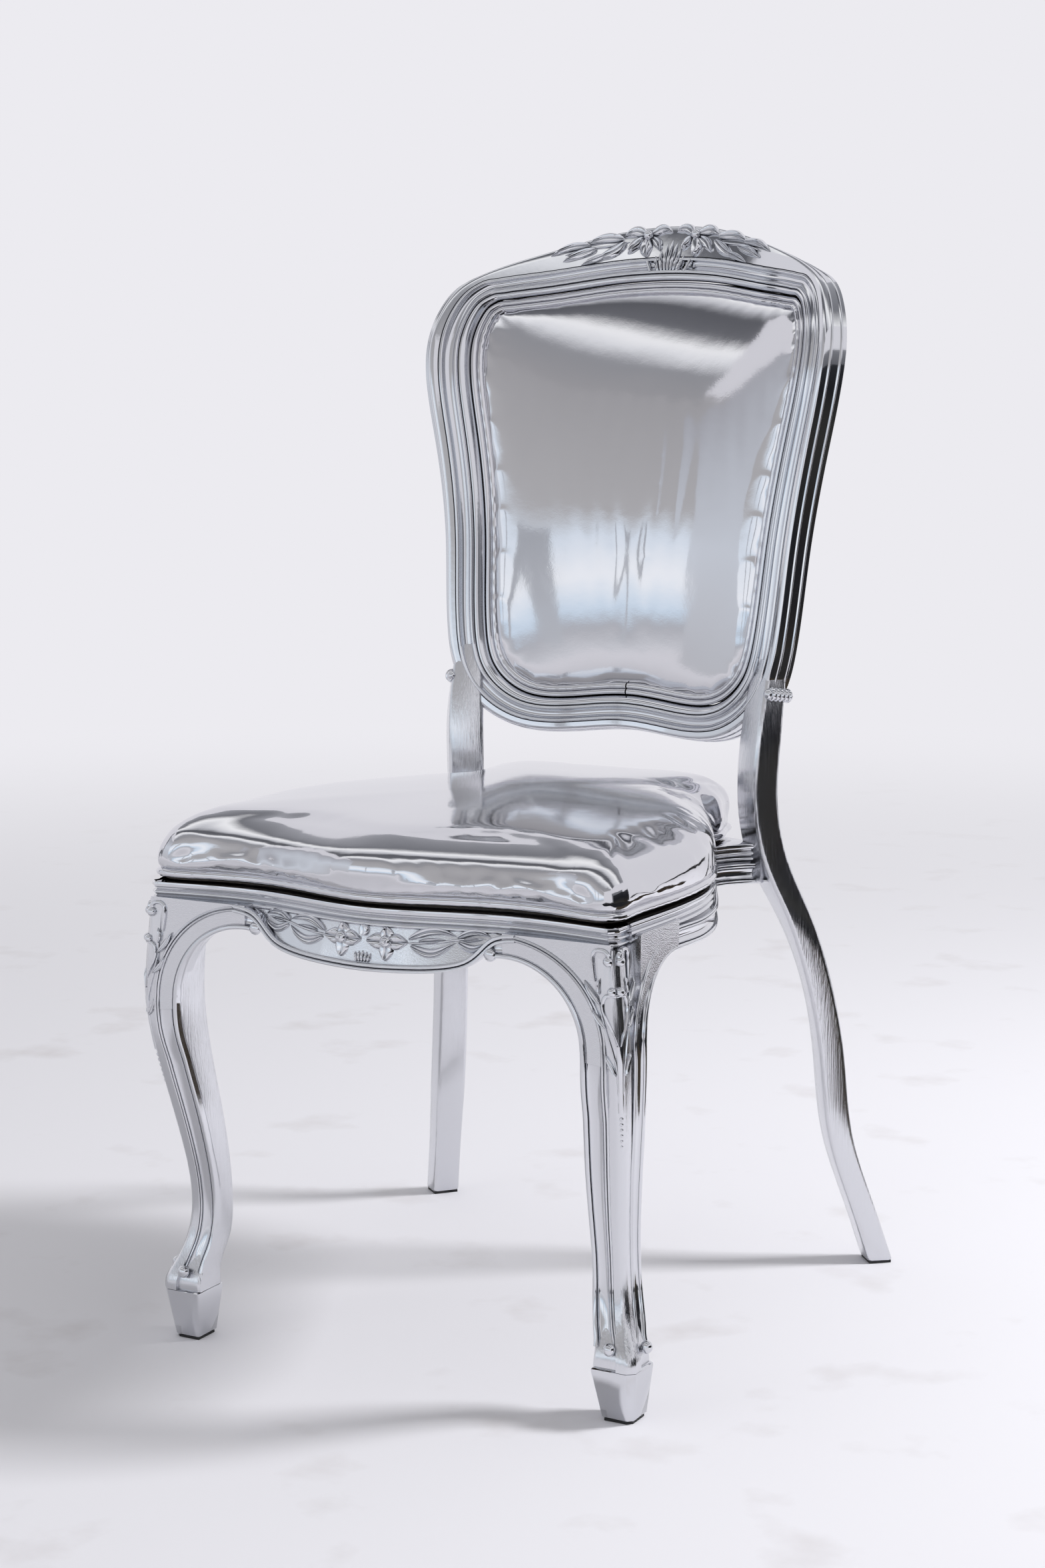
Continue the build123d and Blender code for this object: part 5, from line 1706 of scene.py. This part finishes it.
@dataclass
class BackPad:
    """Crowned back cushion, its double welt and the plain panel behind it."""

    shape: BackShape
    palette: Palette
    shift: float
    welt: float = 11.0
    welt_top: float = 2.6
    edge_depth: float = 7.5
    crown: float = 22.0
    middle_z: float = 697.0
    fullness: float = 2.2         # how long the pad keeps its height towards its edges
    board_depth: float = 10.6
    tucked: float = 5.5           # how far the cover's edge reaches under the welt
    tacked: float = 4.0           # how far the cover is drawn round the board's edge
    roll: float = 18.0            # width of the rounded edge

    def pillow(self, x: Array, z: Array) -> Array:
        """Depth of the pad's front behind the ring's front surface.

        Args:
            x: Widths.
            z: Heights.

        Returns:
            One depth for each pair.
        """
        across = np.minimum(1, np.abs(x) / 167)
        up = np.minimum(1, np.abs(z - self.middle_z) / 187)
        return self.edge_depth - self.crown * (1 - across ** self.fullness) * (1 - up ** self.fullness)

    def edge(self, inset: float, count: int) -> Array:
        """Closed line inside the ring, moved inwards from the band by inset, in width and height.

        Args:
            inset: How far it lies inside the band.
            count: Number of points.

        Returns:
            Points round the ring.
        """
        shares = np.linspace(0, 1, count, endpoint=False)
        outer = self.shape.line.at(shares)
        way = self.shape.line.heading(shares)
        inward = np.stack([-way[:, 1], way[:, 0]], axis=1)
        return outer + inward * (self.shape.width(outer[:, 0], outer[:, 1]) + inset)[:, None]

    def sheet(self, flat: Array, depth: Array) -> Array:
        """Points at widths and heights, a depth behind the ring's front surface."""
        x, z = flat[:, 0], flat[:, 1]
        return np.column_stack([x, self.shape.depth(x, z) + depth / self.shape.normal(x, z)[:, 1], z])

    def pad(self) -> bpy.types.Object:
        """Loft the cushion, its edge rolled under the welt.

        Returns:
            The cushion, not yet swelled.
        """
        mould = Mould(self.shift)
        rim = self.edge(self.welt - self.tucked, 280)
        middle = np.array([0.0, self.middle_z])
        radius = np.linalg.norm(rim - middle, axis=1)
        rows = []
        for share in (0.35, 0.7, 1.0):
            flat = middle + (rim - middle) * share
            rows.append(self.sheet(flat, np.full(len(flat), self.board_depth + self.tacked)))
        for share in (1.0, 0.992, 0.98, 0.965, 0.945, 0.92, 0.89, 0.85, 0.8, 0.7, 0.58, 0.45, 0.3, 0.15,
                      0.04):
            flat = middle + (rim - middle) * share
            short = 1 - np.minimum(1, (1 - share) * radius / self.roll)
            rise = (self.pillow(flat[:, 0], flat[:, 1]) - self.edge_depth) * np.sqrt(1 - short ** 2)
            rows.append(self.sheet(flat, self.edge_depth + 0.6 + rise))
        mould.sweep(np.array(rows))
        return mould.build("back_pad_cover", [self.palette.vinyl])

    def gather(self, piece: bpy.types.Object) -> None:
        """Press short gathers along the welt, deepest in the corners.

        Args:
            piece: The cushion.
        """
        points = ClothRun.points(piece)
        flat = points[:, [0, 2]] / MM
        along, gap = along_line(self.edge(self.welt, 900), flat)
        corner = np.zeros(len(gap))
        for x, z in ((128, 536), (150, 850)):
            corner += np.exp(-(np.hypot(np.abs(flat[:, 0]) - x, flat[:, 1] - z) / 34) ** 2)
        ripple = np.sin(along / 2.6 + 1.7 * np.sin(along / 31)) + 0.6 * np.sin(along / 4.7 + 0.8)
        depth = (0.015 + 0.16 * corner) * ripple * np.exp(-(gap / 13) ** 1.4)
        points[:, 1] += depth * MM
        piece.data.vertices.foreach_set("co", points.ravel())

    def double_welt(self) -> bpy.types.Object:
        """Lay the two cords round the pad, open at their butt joint in the middle of the bottom.

        Returns:
            The welt.
        """
        mould = Mould(self.shift)
        joint = 0.0004
        shares = np.linspace(joint, 1 - joint, 520)
        cord = (self.welt - 0.8) / 2

        def profile(width: float) -> list[tuple[float, float]]:
            """Section of the two cords on their base.

            Args:
                width: Width of the band with its ground.

            Returns:
                Pairs of (across, depth).
            """
            low = width + 0.8
            points = [(low + 0.4, self.board_depth)]
            for start in (low, low + cord):
                points += round_run((start, self.welt_top + cord * 0.55),
                                    (start + cord, self.welt_top + cord * 0.55),
                                    cord * 0.55, 9)
            return points + [(low + 2 * cord, self.welt_top + cord * 0.55),
                             (low + 2 * cord - 0.4, self.board_depth)]

        rows = self.shape.rows(shares, profile)
        ripple = 0.12 * np.sin(np.arange(len(shares)) * 1.3) + 0.08 * np.sin(np.arange(len(shares)) * 0.47)
        rows[:, 10:19, 1] += ripple[:, None]
        mould.sweep(rows)
        return mould.build("back_pad_double_welt", [self.palette.vinyl], 60)

    def rear_sheet(self) -> bpy.types.Object:
        """Lay the softly padded vinyl sheet that closes the back from behind.

        Returns:
            The sheet.
        """
        mould = Mould(self.shift)
        rim = self.edge(1.2, 280)
        middle = np.array([0.0, self.middle_z])
        rows = []
        for share, depth in ((0.2, 23.3), (1.0, 23.3), (1.0, 24.2), (0.985, 24.9), (0.95, 25.2), (0.7, 25.4),
                             (0.4, 25.5),
                             (0.05, 25.5)):
            flat = middle + (rim - middle) * share
            rows.append(self.sheet(flat, np.full(len(flat), depth)))
        mould.sweep(np.array(rows))
        return mould.build("back_rear_vinyl", [self.palette.rear_vinyl], 50)

    def build(self) -> list[bpy.types.Object]:
        """Build and dress the cushion, the welt and the rear sheet.

        Returns:
            The three pieces.
        """
        pad = self.pad()
        front = self.shift

        def held(points: Array) -> Array:
            """Hold of the rear and of the front near the rim, which fades inwards.

                Args:
                    points: Points in metres.

                Returns:
                    Holds from 0 to 1.
                """
            flat = points[:, [0, 2]] / MM
            depth = points[:, 1] / MM - front - self.shape.depth(flat[:, 0], flat[:, 1])
            return np.clip(1 - ease((self.edge_depth + 1 - depth) / 9), 0, 1)

        ClothRun(pressure=1.5, cap=2.5).run(pad, held)
        self.gather(pad)
        soften(pad, self.palette.vinyl)
        seat_piece(pad, Slot.VINYL, "back_cover", "back_foam")
        welt = seat_piece(self.double_welt(), Slot.VINYL, "back_welt")
        return [pad, welt, seat_piece(self.rear_sheet(), Slot.VINYL, "rear_cover")]


@dataclass(frozen=True)
class Card:
    """A glowing card that only mirrors see, shaded from its foot to its head."""

    name: str
    middle: tuple[float, float, float]
    size: tuple[float, float]
    tones: tuple[tuple[float, str], ...]
    flat: bool = False            # lies level, shaded along the room
    strength: float = 1.0

    def material(self) -> bpy.types.Material:
        """Make the card's glow.

        Returns:
            An emission material with the tones up the card.
        """
        made = bpy.data.materials.new(self.name)
        made.use_nodes = True
        tree = made.node_tree
        tree.nodes.clear()
        place = add_node(tree, "ShaderNodeTexCoord").outputs["Generated"]
        up = add_node(tree, "ShaderNodeSeparateXYZ", {0: place}).outputs["Y" if self.flat else "Z"]
        ramp = add_node(tree, "ShaderNodeValToRGB", {"Fac": up})
        stops = ramp.color_ramp.elements
        while len(stops) < len(self.tones):
            stops.new(0.5)
        for stop, (share, colour) in zip(stops, self.tones):
            stop.position = share
            stop.color = linear(colour)
        glow = add_node(tree, "ShaderNodeEmission",
                        {"Color": ramp.outputs["Color"], "Strength": self.strength})
        add_node(tree, "ShaderNodeOutputMaterial", {"Surface": glow.outputs[0]})
        return made


@dataclass
class Studio:
    """Pale floor, soft lamps, cards for the plating to mirror, and the camera."""

    shift: float
    backdrop: str = "#ecebf0"
    floor_colour: str = "#ecebf1"
    scuff_colour: str = "#dcd9dd"
    ambient: float = 0.54         # even light from all round
    azimuth: float = 28.5         # camera's heading from the front, in degrees
    pitch: float = -8.35
    lens: float = 64.26
    sensor: float = 36.0
    eye: tuple[float, float, float] = (1.118, -2.083, 0.798)       # metres in the drawing frame

    def world(self) -> None:
        """Light the scene softly and show a pale backdrop to the camera and to mirrors."""
        world = bpy.data.worlds.new("studio")
        bpy.context.scene.world = world
        world.use_nodes = True
        tree = world.node_tree
        tree.nodes.clear()
        rays = add_node(tree, "ShaderNodeLightPath").outputs
        seen = add_node(tree, "ShaderNodeMath", {0: rays["Is Camera Ray"], 1: rays["Is Glossy Ray"]},
                        operation="MAXIMUM")
        seen = add_node(tree, "ShaderNodeMath", {0: seen.outputs[0], 1: rays["Is Transmission Ray"]},
                        operation="MAXIMUM")
        light = add_node(tree, "ShaderNodeBackground", {"Color": linear("#ffffff"), "Strength": self.ambient})
        shown = add_node(tree, "ShaderNodeBackground", {"Color": linear(self.backdrop), "Strength": 1.0})
        mixed = add_node(tree, "ShaderNodeMixShader",
                         {0: seen.outputs[0], 1: light.outputs[0], 2: shown.outputs[0]})
        add_node(tree, "ShaderNodeOutputWorld", {"Surface": mixed.outputs[0]})

    def floor(self) -> None:
        """Lay the floor."""
        material = bpy.data.materials.new("matt_painted_floor")
        material.use_nodes = True
        tree = material.node_tree
        shader = tree.nodes["Principled BSDF"]
        shader.inputs["Roughness"].default_value = 0.8
        shader.inputs["Specular IOR Level"].default_value = 0.1
        place = add_node(tree, "ShaderNodeTexCoord").outputs["Object"]
        scuffs = add_node(tree, "ShaderNodeTexNoise",
                          {"Vector": place, "Scale": 9.0, "Detail": 5.0}).outputs["Fac"]
        spots = add_node(tree, "ShaderNodeMapRange", {"Value": scuffs, "From Min": 0.58, "From Max": 0.82})
        tones = add_node(tree, "ShaderNodeMix", {0: spots.outputs[0], 6: linear(self.floor_colour),
                                                 7: linear(self.scuff_colour)}, data_type="RGBA")
        tree.links.new(tones.outputs[2], shader.inputs["Base Color"])
        away = add_node(tree, "ShaderNodeVectorMath", {0: place}, operation="LENGTH").outputs["Value"]
        fade = add_node(tree, "ShaderNodeMapRange", {"Value": away, "From Min": 0.7, "From Max": 4.0},
                        interpolation_type="SMOOTHSTEP")
        rays = add_node(tree, "ShaderNodeLightPath").outputs
        seen = add_node(tree, "ShaderNodeMath", {0: rays["Is Camera Ray"], 1: rays["Is Glossy Ray"]},
                        operation="MAXIMUM")
        share = add_node(tree, "ShaderNodeMath", {0: fade.outputs[0], 1: seen.outputs[0]},
                         operation="MULTIPLY")
        glow = add_node(tree, "ShaderNodeEmission", {"Color": linear(self.backdrop), "Strength": 1.0})
        mixed = add_node(tree, "ShaderNodeMixShader",
                         {0: share.outputs[0], 1: shader.outputs[0], 2: glow.outputs[0]})
        tree.links.new(mixed.outputs[0], tree.nodes["Material Output"].inputs["Surface"])
        self.plane("floor", (0, 0, 0), (0, 0, 1), 60.0, 60.0, material)

    @staticmethod
    def plane(name: str, middle: Sequence[float], facing: Sequence[float], width: float, height: float,
              material: bpy.types.Material) -> bpy.types.Object:
        """Set up a flat stage card, sizes in metres.

        Args:
            name: Name of the card.
            middle: Its middle.
            facing: Direction that it faces.
            width: Its size from side to side.
            height: Its size from foot to head.
            material: Its material.

        Returns:
            The card.
        """
        out = unit(np.asarray(facing, float))
        side = unit(np.cross([0.0, 0.0, 1.0] if abs(out[2]) < 0.9 else [0.0, 1.0, 0.0], out)) * width / 2
        up = unit(np.cross(out, side)) * height / 2
        centre = np.asarray(middle, float)
        mesh = bpy.data.meshes.new(name)
        corners = [centre - side - up, centre + side - up, centre + side + up, centre - side + up]
        mesh.from_pydata([tuple(c) for c in corners], [], [(0, 1, 2, 3)])
        mesh.materials.append(material)
        card = bpy.data.objects.new(name, mesh)
        bpy.context.scene.collection.objects.link(card)
        return card

    def cards(self) -> None:
        """Stand a dim room out of view for the plating to mirror."""
        room = [
            Card("front_wall", (-0.6, -4.6, 1.9), (10.0, 3.8),
                 ((0.0, "#d3d4d9"), (0.10, "#b3b4b9"), (0.16, "#d3e3f2"), (0.28, "#f8fafd"),
                  (0.42, "#dfe8f2"),
                  (0.52, "#b3b2b3"), (1.0, "#a3a2a4")), strength=1.2),
            *(Card(f"window_bar_{k}", (x, -4.4, 0.95), (wide, 1.5), ((0.0, "#cdd0d6"), (1.0, "#b4b7bd")))
              for k, (x, wide) in enumerate(((-3.3, 0.22), (-2.7, 0.26), (-2.05, 0.30), (-0.6, 0.30)))),
            Card("ceiling", (0.0, -1.2, 3.7), (9.0, 6.8),
                 ((0.0, "#a3a2a4"), (0.22, "#97989c"), (0.30, "#e8e9ec"), (0.36, "#ffffff"),
                  (0.42, "#6c6d72"),
                  (0.52, "#5f6065"), (0.60, "#cfd0d4"), (0.70, "#ffffff"), (0.78, "#7b7c81"),
                  (1.0, "#a4a5aa")),
                 True, 1.15),
            Card("dark_wall_right", (3.4, -0.9, 0.8), (2.4, 1.6),
                 ((0.0, "#6f7075"), (0.5, "#66676c"), (1.0, "#85868b"))),
            Card("dark_crate_right", (2.2, -0.45, 0.45), (1.3, 0.9),
                 ((0.0, "#3a3936"), (0.5, "#212226"), (1.0, "#2f3034"))),
            Card("dark_shelf_right", (2.6, 0.75, 0.45), (2.2, 0.9),
                 ((0.0, "#34302c"), (0.5, "#232327"), (1.0, "#38383c"))),
            Card("dark_rug_right", (2.0, -0.45, 0.004), (2.1, 3.3),
                 ((0.0, "#2c2c2f"), (0.5, "#232428"), (1.0, "#3a3836")),
                 True),
            Card("wood_rug_right", (0.85, 0.55, 0.006), (0.45, 1.5), ((0.0, "#4a433b"), (1.0, "#332b23")),
                 True),
            Card("dark_rug_behind", (1.7, 3.45, 0.004), (2.2, 1.5), ((0.0, "#26262a"), (1.0, "#3a3836")),
                 True),
            Card("grey_wall_left", (-3.6, -1.8, 1.3), (3.0, 2.6),
                 ((0.0, "#cfd0d5"), (0.5, "#dfe4ec"), (1.0, "#b7b8be"))),
            Card("dark_curtain_left", (-3.2, -0.4, 1.2), (0.22, 2.4), ((0.0, "#6b6c72"), (1.0, "#57585d"))),
        ]
        for card in room:
            across = np.array([-card.middle[0], -card.middle[1], 0.0])
            stood = self.plane(card.name, card.middle, (0, 0, 1) if card.flat else across, *card.size,
                               card.material())
            stood.visible_camera = False
            stood.visible_diffuse = False
            stood.visible_shadow = False
            stood.visible_transmission = False

    def lamps(self) -> None:
        """Hang the soft boxes."""
        for name, place, size, power in (("key_box", (2.1, 1.0, 2.3), 0.6, 74),
                                         ("front_box", (-1.6, -2.6, 2.6), 1.2, 4)):
            lamp = bpy.data.lights.new(name, "AREA")
            lamp.energy = power
            lamp.size = size
            holder = bpy.data.objects.new(name, lamp)
            bpy.context.scene.collection.objects.link(holder)
            holder.visible_glossy = False
            self.aim(holder, place, (0, 0, 0.5))

    @staticmethod
    def aim(holder: bpy.types.Object, place: Sequence[float], target: Sequence[float]) -> None:
        """Put a lamp or a camera at a place and turn it to a target, both in metres."""
        holder.location = place
        holder.rotation_euler = (Vector(target) - Vector(place)).to_track_quat("-Z", "Y").to_euler()

    def camera(self) -> None:
        """Set the camera where the picture was taken from."""
        azimuth, pitch = math.radians(self.azimuth), math.radians(self.pitch)
        place = np.array(self.eye) + [0, self.shift * MM, 0]
        way = np.array([-math.sin(azimuth) * math.cos(pitch), math.cos(azimuth) * math.cos(pitch),
                        math.sin(pitch)])
        lens = bpy.data.cameras.new("camera")
        lens.sensor_width = self.sensor
        lens.lens = self.lens
        holder = bpy.data.objects.new("camera", lens)
        bpy.context.scene.collection.objects.link(holder)
        self.aim(holder, place, place + way)
        bpy.context.scene.camera = holder

    def build(self) -> None:
        """Set up the whole studio."""
        bpy.context.scene.view_settings.view_transform = "Standard"
        self.world()
        self.floor()
        self.cards()
        self.lamps()
        self.camera()


def dress_solids(frame: dict, palette: Palette) -> None:
    """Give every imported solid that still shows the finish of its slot.

    Args:
        frame: The loaded frame.
        palette: The chair's materials.
    """
    slots = {part["node"]: Slot(part["material_slot"]) for part in frame["record"]["subparts"]}
    for name, node in frame["nodes"].items():
        finish = palette.by_slot[slots[name]]
        node.data.materials.clear()
        node.data.materials.append(finish)
        LOG.info("%s: %s", name, finish.name)


def main() -> None:
    """Build the chair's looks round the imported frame, then the studio."""
    logging.basicConfig(level=logging.INFO, format="%(name)s %(message)s")
    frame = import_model()
    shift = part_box("front_right_glide")[0].y / MM - GLIDE_FRONT_Y
    palette = Palette()
    shape = BackShape()
    dress_solids(frame, palette)
    BackFrame(shape, palette, shift).build()
    SeatFrame(palette, shift).build()
    SeatPad(palette, shift).build()
    BackPad(shape, palette, shift).build()
    Studio(shift).build()


if __name__ == "__main__":
    main()
